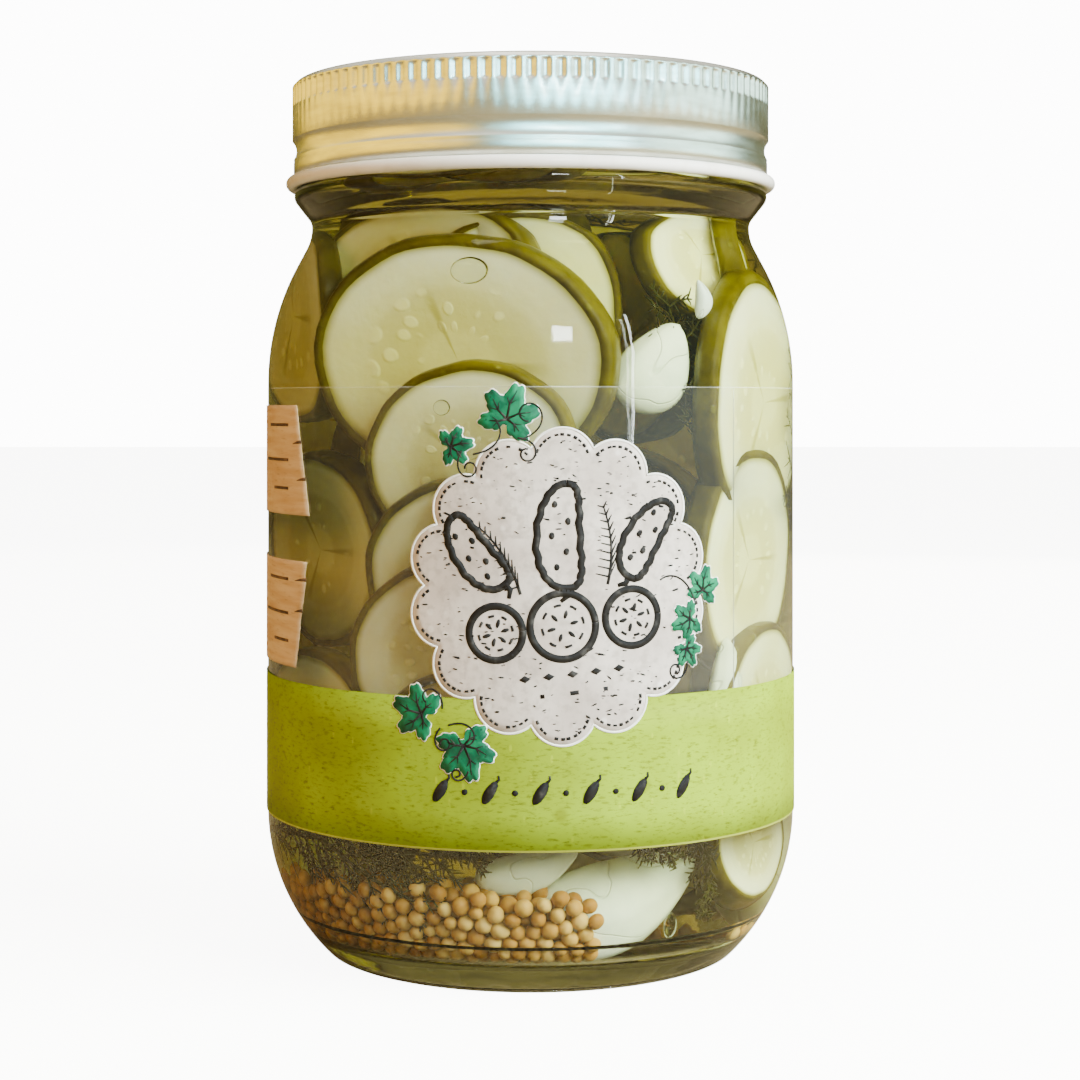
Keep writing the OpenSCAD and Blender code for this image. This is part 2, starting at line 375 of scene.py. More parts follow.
brine, tree, shader = finish_of("brine", paint(0.99, 0.985, 0.93), 0.0, IOR=1.34, Transmission_Weight=1.0)
lets_light_in(tree, shader, (0.99, 0.985, 0.93, 1.0))
haze = add(tree, "ShaderNodeVolumeAbsorption", {"Color": (0.79, 0.74, 0.0, 1.0), "Density": 46.0})
tree.links.new(haze.outputs[0], tree.nodes["Material Output"].inputs["Volume"])
brine_body.data.materials.append(brine)

# %% [markdown]
# ## The lid
# A one-piece lid is pressed from thin sheet: a recessed top panel, a band of upright flutes for grip, a
# round groove and a curled hem. The outside is bare satin metal and the inside is white enamel; the curl is
# made in the same white as part of the lining, so the lid is two shells. The flutes are dents in the sweep,
# deep in the middle of their height and fading at the ends.

# %% The lid
PANEL_DROP, CORNER_R, SKIRT_T, METAL_T = 0.8, 1.3, 0.95, 0.3
FLUTES, FLUTE_DEPTH, FLUTE_H, FLUTE_DROP = 108, 0.42, 3.2, 0.75
GROOVE_W, GROOVE_DEPTH, HEM_R = 3.2, 0.6, 0.95
lid_in_r = MOUTH_R + 0.55
lid_r = lid_in_r + SKIRT_T
hem_z = bead_z + 1.9
hem_x = lid_in_r + HEM_R
groove_z = hem_z + 4.85
groove_r = (GROOVE_W**2 / 4 + GROOVE_DEPTH**2) / (2 * GROOVE_DEPTH)
groove_half = math.degrees(math.asin(GROOVE_W / 2 / groove_r))
low_band_r = lid_r - 0.2
flute_top_z = lid_top_z - FLUTE_DROP
recess_r = bore_r - 0.6


def flute_dent(turn, r, z):
    """How deep a flute is pressed in at a turn and a height."""
    if r < lid_r - 0.1 or z < flute_top_z - FLUTE_H or z > flute_top_z:
        return 0.0
    from_end = min(flute_top_z - z, z - (flute_top_z - FLUTE_H))
    fade = min(1.0, from_end / 0.7)
    ridge = 0.5 + 0.5 * math.cos(turn * FLUTES)
    return FLUTE_DEPTH * (1 - (1 - fade) ** 2) * ridge**1.3


flute_rows = [(lid_r, z) for z in np.linspace(flute_top_z - 0.02, flute_top_z - FLUTE_H + 0.02, 15)]
skirt_line = (
    [(0.0, lid_top_z - PANEL_DROP), (recess_r * 0.5, lid_top_z - PANEL_DROP)]
    + arc(recess_r - 1.1, lid_top_z - PANEL_DROP + 0.5, 0.5, -90, -45, 15)
    + arc(recess_r - 0.1, lid_top_z - 0.5, 0.5, 135, 90, 15)
    + arc(lid_r - CORNER_R, lid_top_z - CORNER_R, CORNER_R, 90, 25, 8)
    + flute_rows
    + arc(lid_r - GROOVE_DEPTH + groove_r, groove_z, groove_r, 180 - groove_half, 180 + groove_half - 8, 5)
    + [(low_band_r - 0.12, groove_z - 1.55), (low_band_r, groove_z - 1.8), (low_band_r, hem_z + 0.75)]
)
inner_r = lid_in_r + 0.25
under_panel = lid_top_z - PANEL_DROP - METAL_T
metal_back = [
    (inner_r, hem_z + 0.75), (inner_r, rim_z - 0.2), (recess_r, rim_z - 0.2), (recess_r - 0.8, under_panel),
    (0.0, under_panel)
]
lid_shell = new_piece(
    "lid_shell", *sweep((skirt_line + metal_back)[::-1], 864, dent=flute_dent), "lid_metal"
)

hem_line = arc(hem_x, hem_z, HEM_R, 100, -180, 12)
lining_line = hem_line + [
    (lid_in_r, rim_z - 0.5),
    (recess_r, rim_z - 0.5),
    (recess_r - 0.8, under_panel - 0.25),
    (0.0, under_panel - 0.25),
    (0.0, under_panel - 0.05),
    (recess_r - 0.75, under_panel - 0.05),
    (recess_r + 0.05, rim_z - 0.25),
    (inner_r - 0.03, rim_z - 0.25),
    (inner_r - 0.03, hem_z + 0.9),
]
lid_lining = new_piece("lid_lining", *sweep(lining_line[::-1]), "lid_enamel")
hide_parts("lid")

metal, tree, shader = finish_of("lid_metal", paint(0.83, 0.82, 0.76), 0.3, Metallic=1.0)
place = place_in(tree)
stretched = add(tree, "ShaderNodeMapping", {"Vector": place, "Scale": (1.0, 1.0, 5.0)}).outputs[0]
wear = mottled(tree, stretched, 160.0, 0.3, 0.75)
coloured(tree, shader, mixed(tree, wear, paint(0.88, 0.88, 0.85), paint(0.80, 0.79, 0.74)))
tree.links.new(ranged(tree, wear, 0.0, 1.0, 0.28, 0.36), shader.inputs["Roughness"])
grain = add(
    tree, "ShaderNodeTexNoise", {"Vector": stretched, "Scale": 2600.0, "Detail": 2.0}
).outputs["Fac"]
bumped(tree, shader, grain, 0.00002, 0.6)
lid_shell.data.materials.append(metal)

enamel, tree, shader = finish_of("lid_enamel", paint(0.95, 0.92, 0.91), 0.25, Coat_Weight=0.5)
specks = mottled(tree, place_in(tree), 300.0, 0.45, 0.8)
coloured(tree, shader, mixed(tree, specks, paint(0.95, 0.92, 0.91), paint(0.9, 0.86, 0.84)))
bumped(tree, shader, specks, 0.00002)
lid_lining.data.materials.append(enamel)

# %% [markdown]
# ## Printed layers
# The label is a clear film with printed shapes on it. A flat drawing in millimetres along and up the label
# is wrapped on the film: each shape is a thin closed solid, so that it has an edge that catches light.
# Large shapes get rings of points inside, because a flat piece would cut through the curve of the wall.

# %% Helpers that wrap a drawing on the label


def wrapped(across, up, r):
    """A point of the drawing on a cylinder of radius r. Across is measured along the label from its front."""
    turn = across / print_r
    return (r * math.sin(turn), -r * math.cos(turn), up)


def turned_to(degrees):
    """How far along the label a turn from the front is."""
    return math.radians(degrees) * print_r


def patch(outline, low_r, high_r, rings=1, centre=None):
    """A thin solid with an outline given anticlockwise, filled by rings drawn in to its centre."""
    middle = np.mean(outline, axis=0) if centre is None else np.asarray(centre)
    count, verts, faces = len(outline), [], []
    for r in (high_r, low_r):
        verts.append(wrapped(*middle, r))
        for k in range(1, rings + 1):
            for point in outline:
                verts.append(wrapped(*(middle + (np.asarray(point) - middle) * k / rings), r))
    layer = 1 + rings * count
    for base, flip in ((0, 1), (layer, -1)):
        for i in range(count):
            j = (i + 1) % count
            faces.append((base, base + 1 + i, base + 1 + j)[::flip])
            for k in range(rings - 1):
                near, far = base + 1 + k * count, base + 1 + (k + 1) * count
                faces.append((near + i, far + i, far + j, near + j)[::flip])
    top, low = 1 + (rings - 1) * count, layer + 1 + (rings - 1) * count
    faces += [(top + i, low + i, low + (i + 1) % count, top + (i + 1) % count) for i in range(count)]
    return verts, faces


def stroke(points, width, low_r, high_r):
    """A thin raised line through points of the drawing; width is one number or one for each point."""
    points = np.asarray(points, float)
    widths = np.broadcast_to(np.asarray(width, float), (len(points),))
    along = np.gradient(points, axis=0)
    along /= np.maximum(np.linalg.norm(along, axis=1), 1e-9)[:, None]
    side = np.stack([-along[:, 1], along[:, 0]], axis=1) * widths[:, None] / 2
    verts, faces = [], []
    for point, half in zip(points, side):
        for r in (low_r, high_r):
            verts += [wrapped(*(point + half), r), wrapped(*(point - half), r)]
    for k in range(len(points) - 1):
        a, b = 4 * k, 4 * k + 4
        faces += [
            (a + 2, a + 3, b + 3, b + 2), (a, b, b + 1, a + 1), (a, a + 2, b + 2, b),
            (a + 1, b + 1, b + 3, a + 3)
        ]
    last = 4 * (len(points) - 1)
    faces += [(0, 1, 3, 2), (last, last + 2, last + 3, last + 1)]
    return verts, faces


def ring_band(low_z, high_z, low_r, high_r, rows=2):
    """A thin closed layer right round the wall."""
    heights = np.linspace(low_z, high_z, rows + 1)
    return sweep([(high_r, z) for z in heights] + [(low_r, z) for z in heights[::-1]], closed=True)


# %% [markdown]
# ## The film and the band
# The film is almost invisible: it shows as a faint edge and a seam, made as real thin edges in a pale,
# half-clear finish that is painted highlight where they catch light. The band is printed to look like
# recycled paper, with darker olive flecks, pale fibres and a lighter line along its lower edge.

# %% The film and the band
BAND_EDGE = 0.35
label_film = new_piece(
    "label_film_clear", *ring_band(film_low_z, film_top_z, body_r + 0.02, film_r), "label_film"
)
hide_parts("label_film")
label_band = new_piece(
    "label_band_print", *ring_band(film_low_z, band_top_z, film_r + 0.02, print_r, 4), "label_green"
)
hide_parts("label_band")
# The seam strokes and the top edge ring are real edges of the film; their pale colour is painted highlight
seam_parts = [
    stroke([(turned_to(t), film_low_z), (turned_to(t), film_top_z)], 0.12, film_r - 0.03, film_r + 0.03)
    for t in (20.5, 45.5)
]
seam_parts += [ring_band(film_top_z - 0.08, film_top_z + 0.06, body_r + 0.02, film_r + 0.02, 1)]
label_seams = new_piece("label_seams", *joined(seam_parts), "label_film")

film, tree, shader = finish_of("label_film", paint(0.96, 0.97, 0.96), 0.18, Alpha=0.012)
film_clouds = mottled(tree, place_in(tree), 90.0, 0.3, 0.8)
tree.links.new(ranged(tree, film_clouds, 0.0, 1.0, 0.1, 0.28), shader.inputs["Roughness"])
label_film.data.materials.append(film)
# Pale, partly opaque lines: the film's edges are real, and their brightness is painted highlight
seam, tree, shader = finish_of("label_film_edge_highlight", paint(0.96, 0.97, 0.93), 0.2, Alpha=0.25)
seam_clouds = mottled(tree, place_in(tree), 200.0, 0.3, 0.8)
tree.links.new(ranged(tree, seam_clouds, 0.0, 1.0, 0.06, 0.25), shader.inputs["Alpha"])
label_seams.data.materials.append(seam)

paper_green, tree, shader = finish_of("paper_green", paint(0.66, 0.70, 0.12), 0.55)
place = place_in(tree)
clouds = mottled(tree, place, 70.0, 0.25, 0.75)
colour = mixed(tree, clouds, paint(0.49, 0.56, 0.0), paint(0.57, 0.68, 0.0))
fibres = add(tree, "ShaderNodeMapping", {"Vector": place, "Scale": (1.0, 1.0, 3.2)}).outputs[0]
dark = flecked(tree, fibres, 420.0, 0.22)
colour = mixed(tree, times(tree, dark, 0.6), colour, paint(0.38, 0.42, 0.0))
upright = add(tree, "ShaderNodeMapping", {"Vector": place, "Scale": (2.4, 2.4, 1.0)}).outputs[0]
pale = flecked(tree, upright, 460.0, 0.14)
colour = mixed(tree, times(tree, pale, 0.3), colour, paint(0.72, 0.78, 0.12))
fine = add(
    tree, "ShaderNodeTexNoise", {"Vector": fibres, "Scale": 900.0, "Detail": 4.0, "Roughness": 0.7}
).outputs["Fac"]
colour = mixed(tree, ranged(tree, fine, 0.5, 0.72), colour, paint(0.36, 0.40, 0.0))
dots = flecked(tree, place, 260.0, 0.06)
colour = mixed(tree, times(tree, dots, 0.6), colour, paint(0.42, 0.46, 0.0))
height = add(tree, "ShaderNodeSeparateXYZ", {0: place}).outputs["Z"]
low_edge = ranged(tree, height, (film_low_z + BAND_EDGE) * MM, (film_low_z + BAND_EDGE * 0.5) * MM)
colour = mixed(tree, low_edge, colour, paint(0.80, 0.84, 0.34))
coloured(tree, shader, colour)
bumped(tree, shader, sums(tree, "ADD", dark, pale), 0.00001)
label_band.data.materials.append(paper_green)

# %% [markdown]
# ## The medallion
# The front panel is a scalloped disc: a disc with a ring of round lobes. Its outline is the furthest reach
# of the disc and its lobes in every direction. Each lobe has a row of short stitch-like dashes inside its
# edge.

# %% The medallion
LOBES, LOBE_R = 14, 4.6
medallion_z = (medallion_low_z + medallion_top_z) / 2
medallion_r = (medallion_top_z - medallion_low_z) / 2
medallion_x = turned_to(6.2)
lobe_ring = medallion_r - LOBE_R
lobe_turns = [(i + 0.5) * 2 * math.pi / LOBES for i in range(LOBES)]


def scallop_reach(turn):
    """The furthest the medallion reaches from its centre in one direction."""
    reach = lobe_ring
    for lobe in lobe_turns:
        off = math.remainder(turn - lobe, 2 * math.pi)
        side = lobe_ring * math.sin(off)
        if abs(off) < math.pi / 2 and abs(side) < LOBE_R:
            reach = max(reach, lobe_ring * math.cos(off) + math.sqrt(LOBE_R**2 - side**2))
    return reach


def scallops(grow=0.0):
    """The medallion's outline, grown or shrunk by a little."""
    turns = np.linspace(0, 2 * math.pi, LOBES * 24, endpoint=False)
    reach = [scallop_reach(t) + grow for t in turns]
    return [(medallion_x + r * math.cos(t), medallion_z + r * math.sin(t)) for r, t in zip(reach, turns)]


medallion = new_piece(
    "medallion_paper", *patch(scallops(), film_r + 0.01, print_r + 0.03, 14, (medallion_x, medallion_z)),
    "label_pale"
)
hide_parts("label_medallion")

paper_pale, tree, shader = finish_of("paper_pale", paint(0.80, 0.75, 0.73), 0.55)
place = place_in(tree)
clouds = mottled(tree, place, 110.0, 0.3, 0.7)
colour = mixed(tree, clouds, paint(0.84, 0.79, 0.77), paint(0.72, 0.66, 0.64))
fine = mottled(tree, place, 900.0, 0.4, 0.75)
colour = mixed(tree, times(tree, fine, 0.55), colour, paint(0.60, 0.55, 0.53))
light = flecked(tree, place, 520.0, 0.12)
colour = mixed(tree, times(tree, light, 0.4), colour, paint(0.95, 0.92, 0.91))
coloured(tree, shader, colour)
bumped(tree, shader, fine, 0.00001)
medallion.data.materials.append(paper_pale)
white_line = [stroke(scallops(-0.12) + scallops(-0.12)[:1], 0.32, print_r, print_r + 0.045)]
medallion_edge = new_piece("medallion_edge", *joined(white_line), "label_pale")
paper_edge, tree, shader = finish_of("paper_edge", paint(0.96, 0.95, 0.94), 0.5)
edge_clouds = mottled(tree, place_in(tree), 400.0, 0.3, 0.8)
coloured(tree, shader, mixed(tree, edge_clouds, paint(0.97, 0.96, 0.95), paint(0.88, 0.85, 0.84)))
medallion_edge.data.materials.append(paper_edge)

# %% [markdown]
# ## Dark print on the medallion
# The stitches, scattered specks and a plain drawing of gherkins, slices and dill sprigs are all one dark
# print. They are drawn as strokes and small blobs, with no words, and sit a few hundredths above the paper.

# %% Stitches and specks
INK_LOW, INK_TOP = print_r, print_r + 0.06
ink = []


def draw(points, width):
    """Adds a stroke of dark print."""
    ink.append(stroke(points, width, INK_LOW, INK_TOP))


def blob(x, z, w, h, lean=0.0, corners=7, rough=0.25):
    """Adds a small uneven spot of dark print."""
    turns = np.linspace(0, 2 * math.pi, corners, endpoint=False)
    reach = 1 + chance.uniform(-rough, rough, corners)
    c, s = math.cos(lean), math.sin(lean)
    flat = [(w * k * math.cos(t), h * k * math.sin(t)) for k, t in zip(reach, turns)]
    ink.append(patch([(x + a * c - b * s, z + a * s + b * c) for a, b in flat], INK_LOW, INK_TOP))


for lobe in lobe_turns:
    lobe_x = medallion_x + lobe_ring * math.cos(lobe)
    lobe_z = medallion_z + lobe_ring * math.sin(lobe)
    for k in range(-5, 6):
        turn = lobe + math.radians(k * 13.5) + chance.normal(0, 0.02)
        reach = LOBE_R - 1.0
        if chance.random() < 0.1:
            continue
        ends = [
            (lobe_x + reach * math.cos(turn + d), lobe_z + reach * math.sin(turn + d))
            for d in (-0.075, 0.0, 0.075)
        ]
        draw(ends, chance.uniform(0.28, 0.42))

for _ in range(330):
    turn, share = chance.uniform(0, 2 * math.pi), math.sqrt(chance.random())
    reach = scallop_reach(turn) * (0.25 + 0.68 * share)
    size = chance.uniform(0.06, 0.2) * (1.6 if chance.random() < 0.12 else 1)
    x, z = medallion_x + reach * math.cos(turn), medallion_z + reach * math.sin(turn)
    blob(x, z, size * chance.uniform(1, 2.6), size * 0.6, chance.normal(0, 0.25), 6, 0.35)

# %% [markdown]
# The drawing follows the label's slight tilt: a row of leaning gherkins with sprigs between them over a row
# of slices. Plain repeated shapes fill the place of a title with the same weight of dark print.

# %% The drawing
TILT = math.radians(6)


def tilted(x, z):
    """A point of the drawing, given from the medallion's centre before its tilt."""
    c, s = math.cos(TILT), math.sin(TILT)
    return (medallion_x + x * c - z * s, medallion_z + 1.2 + x * s + z * c)


def gherkin_edge(t, half_l, half_w, bend):
    """A point on the outline of a bent gherkin; t goes once round."""
    x = half_l * math.copysign(abs(math.cos(t)) ** 0.8, math.cos(t))
    z = half_w * math.copysign(abs(math.sin(t)) ** 0.75, math.sin(t)) * (1 - 0.12 * x / half_l)
    return (x, z - bend * (x / half_l) ** 2)


around = np.linspace(0, 2 * math.pi, 73)
bumps = 1 + 0.05 * np.sin(around * 19)


def gherkin(x, z, lean, half_l, half_w):
    """An upright gherkin with warts and a stalk, leaning by an angle from level."""
    c, s = math.cos(lean), math.sin(lean)

    def set_down(a, b):
        return tilted(x + a * c - b * s, z + a * s + b * c)

    outline = [gherkin_edge(t, half_l, half_w * bump, half_l * 0.16) for t, bump in zip(around, bumps)]
    draw([set_down(*point) for point in outline], 1.0)
    for share, side in ((0.6, 0.3), (0.28, -0.42), (0.0, 0.3), (-0.3, -0.35), (-0.6, 0.2)):
        a, b = half_l * share, half_w * side - half_l * 0.16 * share * share
        blob(*set_down(a, b), 0.5, 0.4, lean, 8, 0.1)
    stalk = [(-half_l, -half_l * 0.16), (-half_l - 1.0, -half_l * 0.2), (-half_l - 1.8, -half_l * 0.05)]
    draw([set_down(*point) for point in stalk], (1.1, 0.8, 0.5))


for x, z, lean, size in ((-11.6, 4.2, 122, 0.92), (0.0, 5.6, 84, 1.12), (11.8, 4.2, 52, 0.92)):
    gherkin(x, z, math.radians(lean), 6.2 * size, 2.6 * size)

for slice_x, slice_r in ((-9.6, 3.6), (-0.6, 4.4), (9.0, 3.8)):
    ring = [(slice_x + slice_r * math.cos(t), -6.4 + slice_r * math.sin(t)) for t in around]
    draw([tilted(x, z) for x, z in ring], 1.0)
    core = [(slice_x + 0.64 * slice_r * math.cos(t), -6.4 + 0.64 * slice_r * math.sin(t)) for t in around]
    for k in range(0, 72, 9):
        draw([tilted(*core[k + d]) for d in (0, 2, 4)], 0.34)
    for k in range(6):
        t = k * math.pi / 3 + 0.2
        blob(
            *tilted(slice_x + slice_r * 0.36 * math.cos(t), -6.4 + slice_r * 0.36 * math.sin(t)), 0.6, 0.26,
            t + TILT, 8, 0.1
        )


def sprig(x, z, heading, length, pairs):
    """A sprig of dill: a curved stem with pairs of fine leaves."""
    stem = []
    for k in range(pairs + 1):
        stem.append((x, z))
        x += length / pairs * math.cos(heading)
        z += length / pairs * math.sin(heading)
        heading += 0.06
    draw([tilted(*p) for p in stem], np.linspace(0.42, 0.2, len(stem)))
    for k, (px, pz) in enumerate(stem[1:]):
        for side in (-1, 1):
            turn = heading + side * 0.9
            reach = 1.9 * (1 - 0.6 * k / pairs)
            tip = (px + reach * math.cos(turn), pz + reach * math.sin(turn))
            draw([tilted(px, pz), tilted(*tip)], (0.28, 0.12))


sprig(-5.8, -1.6, 1.75, 10.5, 10)
sprig(6.0, -1.6, 1.25, 10.5, 10)
for x in (-6.4, -3.2, 0.0, 3.2, 6.4):
    blob(*tilted(x, -12.9), 0.8, 0.5, TILT, 4, 0.0)
draw([tilted(-4.6, -15.4), tilted(0, -15.4), tilted(4.6, -15.4)], 0.55)

# %% [markdown]
# ## Marks on the band and the vine
# A row of small leaning gherkins runs along the band. Vine leaves stand at three places round the
# medallion: each is a lobed, toothed outline in green on a slightly larger pale shape, with dark veins and
# thin tendrils.

# %% The band's marks
MARK_Z = 29.0
for k in range(11):
    x = medallion_x - 16.5 + k * 3.4
    if k % 2:
        blob(x, MARK_Z, 0.42, 0.42, 0, 8, 0.06)
    else:
        blob(x, MARK_Z, 1.75, 0.72, math.radians(58), 18, 0.04)
        draw(
            [(x + 0.85, MARK_Z + 1.4), (x + 1.25, MARK_Z + 1.75), (x + 1.2, MARK_Z + 2.3)],
            (0.45, 0.3, 0.25)
        )

# %% The vine
leaf_prints, leaf_backs = [], []


def leaf_outline(x, z, size, heading, grow=0.0):
    """A vine leaf with five pointed lobes and small teeth; it points along its heading."""
    points = []
    for t in np.linspace(-math.pi, math.pi, 90, endpoint=False):
        lobes = 0.0
        for lobe, reach in ((0.0, 1.0), (0.95, 0.86), (-0.95, 0.86), (2.0, 0.66), (-2.0, 0.66)):
            lobes = max(lobes, reach * math.exp(-((math.remainder(t - lobe, 2 * math.pi) / 0.35) ** 2) / 2))
        reach = size * (0.36 + 0.64 * lobes) * (1 + 0.12 * abs(math.sin(t * 10))) + grow
        if abs(t) > 2.85:
            reach *= 0.45
        points.append((x + reach * math.cos(t + heading), z + reach * math.sin(t + heading)))
    return points


def leaf(x, z, size, degrees):
    """One printed leaf with its pale border and its veins."""
    heading = math.radians(degrees)
    leaf_backs.append(
        patch(leaf_outline(x, z, size, heading, 0.16), print_r + 0.02, print_r + 0.05, 3, (x, z))
    )
    leaf_prints.append(patch(leaf_outline(x, z, size, heading), print_r + 0.03, print_r + 0.07, 3, (x, z)))
    for lobe, reach in ((0.0, 0.88), (0.95, 0.72), (-0.95, 0.72), (2.0, 0.5), (-2.0, 0.5)):
        tip_x = x + size * reach * math.cos(heading + lobe)
        tip_z = z + size * reach * math.sin(heading + lobe)
        middle = ((x + tip_x) / 2 - 0.08 * (tip_z - z), (z + tip_z) / 2 + 0.08 * (tip_x - x))
        ink.append(
            stroke([(x, z), middle, (tip_x, tip_z)], (0.34, 0.26, 0.1), INK_LOW + 0.06, INK_TOP + 0.04)
        )
        for side in (-0.7, 0.7):
            turn = heading + lobe + side
            end = (middle[0] + size * 0.22 * math.cos(turn), middle[1] + size * 0.22 * math.sin(turn))
            ink.append(stroke([middle, end], (0.2, 0.08), INK_LOW + 0.06, INK_TOP + 0.04))


def tendril(x, z, heading, length, curl):
    """A thin stem that curls more and more towards its end."""
    points, turn = [], math.radians(heading)
    for k in range(26):
        points.append((x, z))
        x += length / 25 * math.cos(turn)
        z += length / 25 * math.sin(turn)
        turn += curl * (0.05 + 0.012 * k)
    ink.append(stroke(points, 0.24, print_r + 0.01, print_r + 0.075))


def on_medallion(x, z):
    """A place on the drawing from the medallion's centre."""
    return medallion_x + x, medallion_z + z


for x, z, size, degrees in (
    (-7.4, 22.3, 4.6, 70),
    (-15.0, 18.6, 3.0, 10),
    (20.8, -1.0, 3.2, 75),
    (18.6, -4.8, 3.0, 200),
    (18.0, -8.8, 2.6, 300),
    (-19.2, -17.2, 4.2, 160),
    (-13.2, -21.2, 4.6, 285),
):
    leaf(*on_medallion(x, z), size, degrees)

for x, z, heading, length, curl in (
    (-5.5, 19.6, 20, 11.0, 1.3),
    (-6.0, 19.8, -5, 8.0, -1.4),
    (-13.5, 18.0, 240, 8.5, 1.5),
    (-12.0, 17.6, 10, 7.0, 0.5),
    (19.6, -3.0, 110, 8.0, 0.4),
    (18.2, -10.5, 265, 8.0, -1.6),
    (-16.5, -19.0, 230, 7.5, 1.6),
    (-15.4, -18.6, 20, 8.0, -1.1),
    (-16.2, -16.4, 90, 6.0, 0.9),
    (-12.6, -24.6, 250, 6.0, -1.7),
):
    tendril(*on_medallion(x, z), heading, length, curl)

leaf_pale = new_piece("leaf_borders", *joined(leaf_backs), "label_pale")
leaf_pale.data.materials.append(paper_edge)
leaf_green = new_piece("leaf_prints", *joined(leaf_prints), "print_leaf")
leaf_ink, tree, shader = finish_of("leaf_print", paint(0.02, 0.42, 0.33), 0.5)
place = place_in(tree)
clouds = mottled(tree, place, 420.0, 0.35, 0.65)
colour = mixed(tree, clouds, paint(0.0, 0.45, 0.31), paint(0.0, 0.28, 0.20))
hatch = flecked(tree, place, 1500.0, 0.2)
coloured(tree, shader, mixed(tree, times(tree, hatch, 0.7), colour, paint(0.01, 0.12, 0.10)))
leaf_green.data.materials.append(leaf_ink)

label_ink = new_piece("label_ink", *joined(ink), "print_ink")
black, tree, shader = finish_of("print_black", paint(0.10, 0.10, 0.11), 0.5)
worn = mottled(tree, place_in(tree), 700.0, 0.5, 0.8)
coloured(tree, shader, mixed(tree, worn, paint(0.09, 0.09, 0.10), paint(0.26, 0.25, 0.25)))
label_ink.data.materials.append(black)

# %% [markdown]
# ## The side boards
# Two printed boards stand at the side of the label. Each is one curved plate, with a grid of points whose
# right end leans, is a little ragged, and steps at two short cuts, like the end of a rough-sawn board. The
# grain is in the material, and the cuts and short lines are brown print on top.

# %% The side boards
BOARD_W, BOARD_SLANT, BOARD_STRIPS, BOARD_ROWS = 31.0, 1.6, 24, 24
board_turn = turned_to(-77)


def board(name, node, slant, cuts):
    """A curved plate. Its right end leans by the slant, is ragged, and steps a little at each cut."""
    low, high = box_mm(node)[0][2] + 0.06, box_mm(node)[1][2] - 0.06
    steps = chance.uniform(-0.45, 0.45, (2, len(cuts) + 1))
    ragged = chance.uniform(-0.12, 0.12, (2, BOARD_ROWS + 1))
    ends = []
    for k in range(BOARD_ROWS + 1):
        up = k / BOARD_ROWS
        plank = sum(up > cut for cut in cuts)
        left = -BOARD_W / 2 + steps[0][plank] + ragged[0][k]
        right = BOARD_W / 2 + slant * (1 - 2 * up) + steps[1][plank] + ragged[1][k]
        ends.append((board_turn + left, board_turn + right, low + (high - low) * up))
    verts, faces = [], []
    for r in (print_r + 0.01, film_r + 0.02):
        for i in range(BOARD_STRIPS + 1):
            verts.extend(wrapped(left + (right - left) * i / BOARD_STRIPS, z, r) for left, right, z in ends)
    row_n, layer = BOARD_ROWS + 1, (BOARD_STRIPS + 1) * (BOARD_ROWS + 1)
    for base, flip in ((0, 1), (layer, -1)):
        for i in range(BOARD_STRIPS):
            for k in range(BOARD_ROWS):
                corner = base + i * row_n + k
                faces.append((corner, corner + row_n, corner + row_n + 1, corner + 1)[::flip])
    edge = [i * row_n for i in range(BOARD_STRIPS)] + [BOARD_STRIPS * row_n + k for k in range(BOARD_ROWS)]
    edge += [i * row_n + BOARD_ROWS for i in range(BOARD_STRIPS, 0, -1)] + list(range(BOARD_ROWS, 0, -1))
    faces += [(p, p + layer, q + layer, q) for p, q in zip(edge, edge[1:] + edge[:1])]
    piece = new_piece(name, verts, faces, "label_tan")
    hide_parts(node)
    return piece, ends


UPPER_CUTS, LOWER_CUTS = (0.35, 0.68), (0.56, 0.84)
board_upper, upper_ends = board("board_upper", "label_board_upper", BOARD_SLANT, UPPER_CUTS)
board_lower, lower_ends = board("board_lower", "label_board_lower", -BOARD_SLANT, LOWER_CUTS)

wood, tree, shader = finish_of("board_print", paint(0.82, 0.69, 0.54), 0.6)
place = place_in(tree)
grain_place = add(tree, "ShaderNodeMapping", {"Vector": place, "Scale": (1.0, 1.0, 9.0)}).outputs[0]
streaks = mottled(tree, grain_place, 90.0, 0.3, 0.7)
colour = mixed(tree, streaks, paint(0.86, 0.74, 0.60), paint(0.77, 0.62, 0.46))
fine = mottled(tree, grain_place, 420.0, 0.55, 0.75)
colour = mixed(tree, times(tree, fine, 0.45), colour, paint(0.55, 0.42, 0.30))
coloured(tree, shader, colour)
bumped(tree, shader, fine, 0.00001)
for piece in (board_upper, board_lower):
    piece.data.materials.append(wood)

board_lines = []
for ends, cuts in ((upper_ends, UPPER_CUTS), (lower_ends, LOWER_CUTS)):
    for cut in cuts:
        for end, inward in ((1, -1), (0, 1)):
            edge_x, z = ends[round(cut * BOARD_ROWS)][end], ends[round(cut * BOARD_ROWS)][2]
            tip_x = edge_x + inward * chance.uniform(2.0, 3.2)
            line = [(edge_x - inward * 0.1, z), ((edge_x + tip_x) / 2, z - 0.1), (tip_x, z - 0.3)]
            board_lines.append(stroke(line, (0.5, 0.34, 0.1), print_r, print_r + 0.05))
    for row, reach in ((0.82, 8.5), (0.5, 11.0), (0.24, 6.0)):
        z = ends[0][2] + (ends[-1][2] - ends[0][2]) * row
        right = board_turn + BOARD_W / 2 - 4.2
        line = [(right - reach * share, z) for share in np.linspace(1, 0, 12)]
        board_lines.append(stroke(line, 0.42, print_r, print_r + 0.05))
board_marks = new_piece("board_marks", *joined(board_lines), "print_ink")
brown, tree, shader = finish_of("print_brown", paint(0.30, 0.22, 0.15), 0.55)
worn = mottled(tree, place_in(tree), 600.0, 0.4, 0.8)
coloured(tree, shader, mixed(tree, worn, paint(0.28, 0.20, 0.14), paint(0.48, 0.36, 0.26)))
board_marks.data.materials.append(brown)

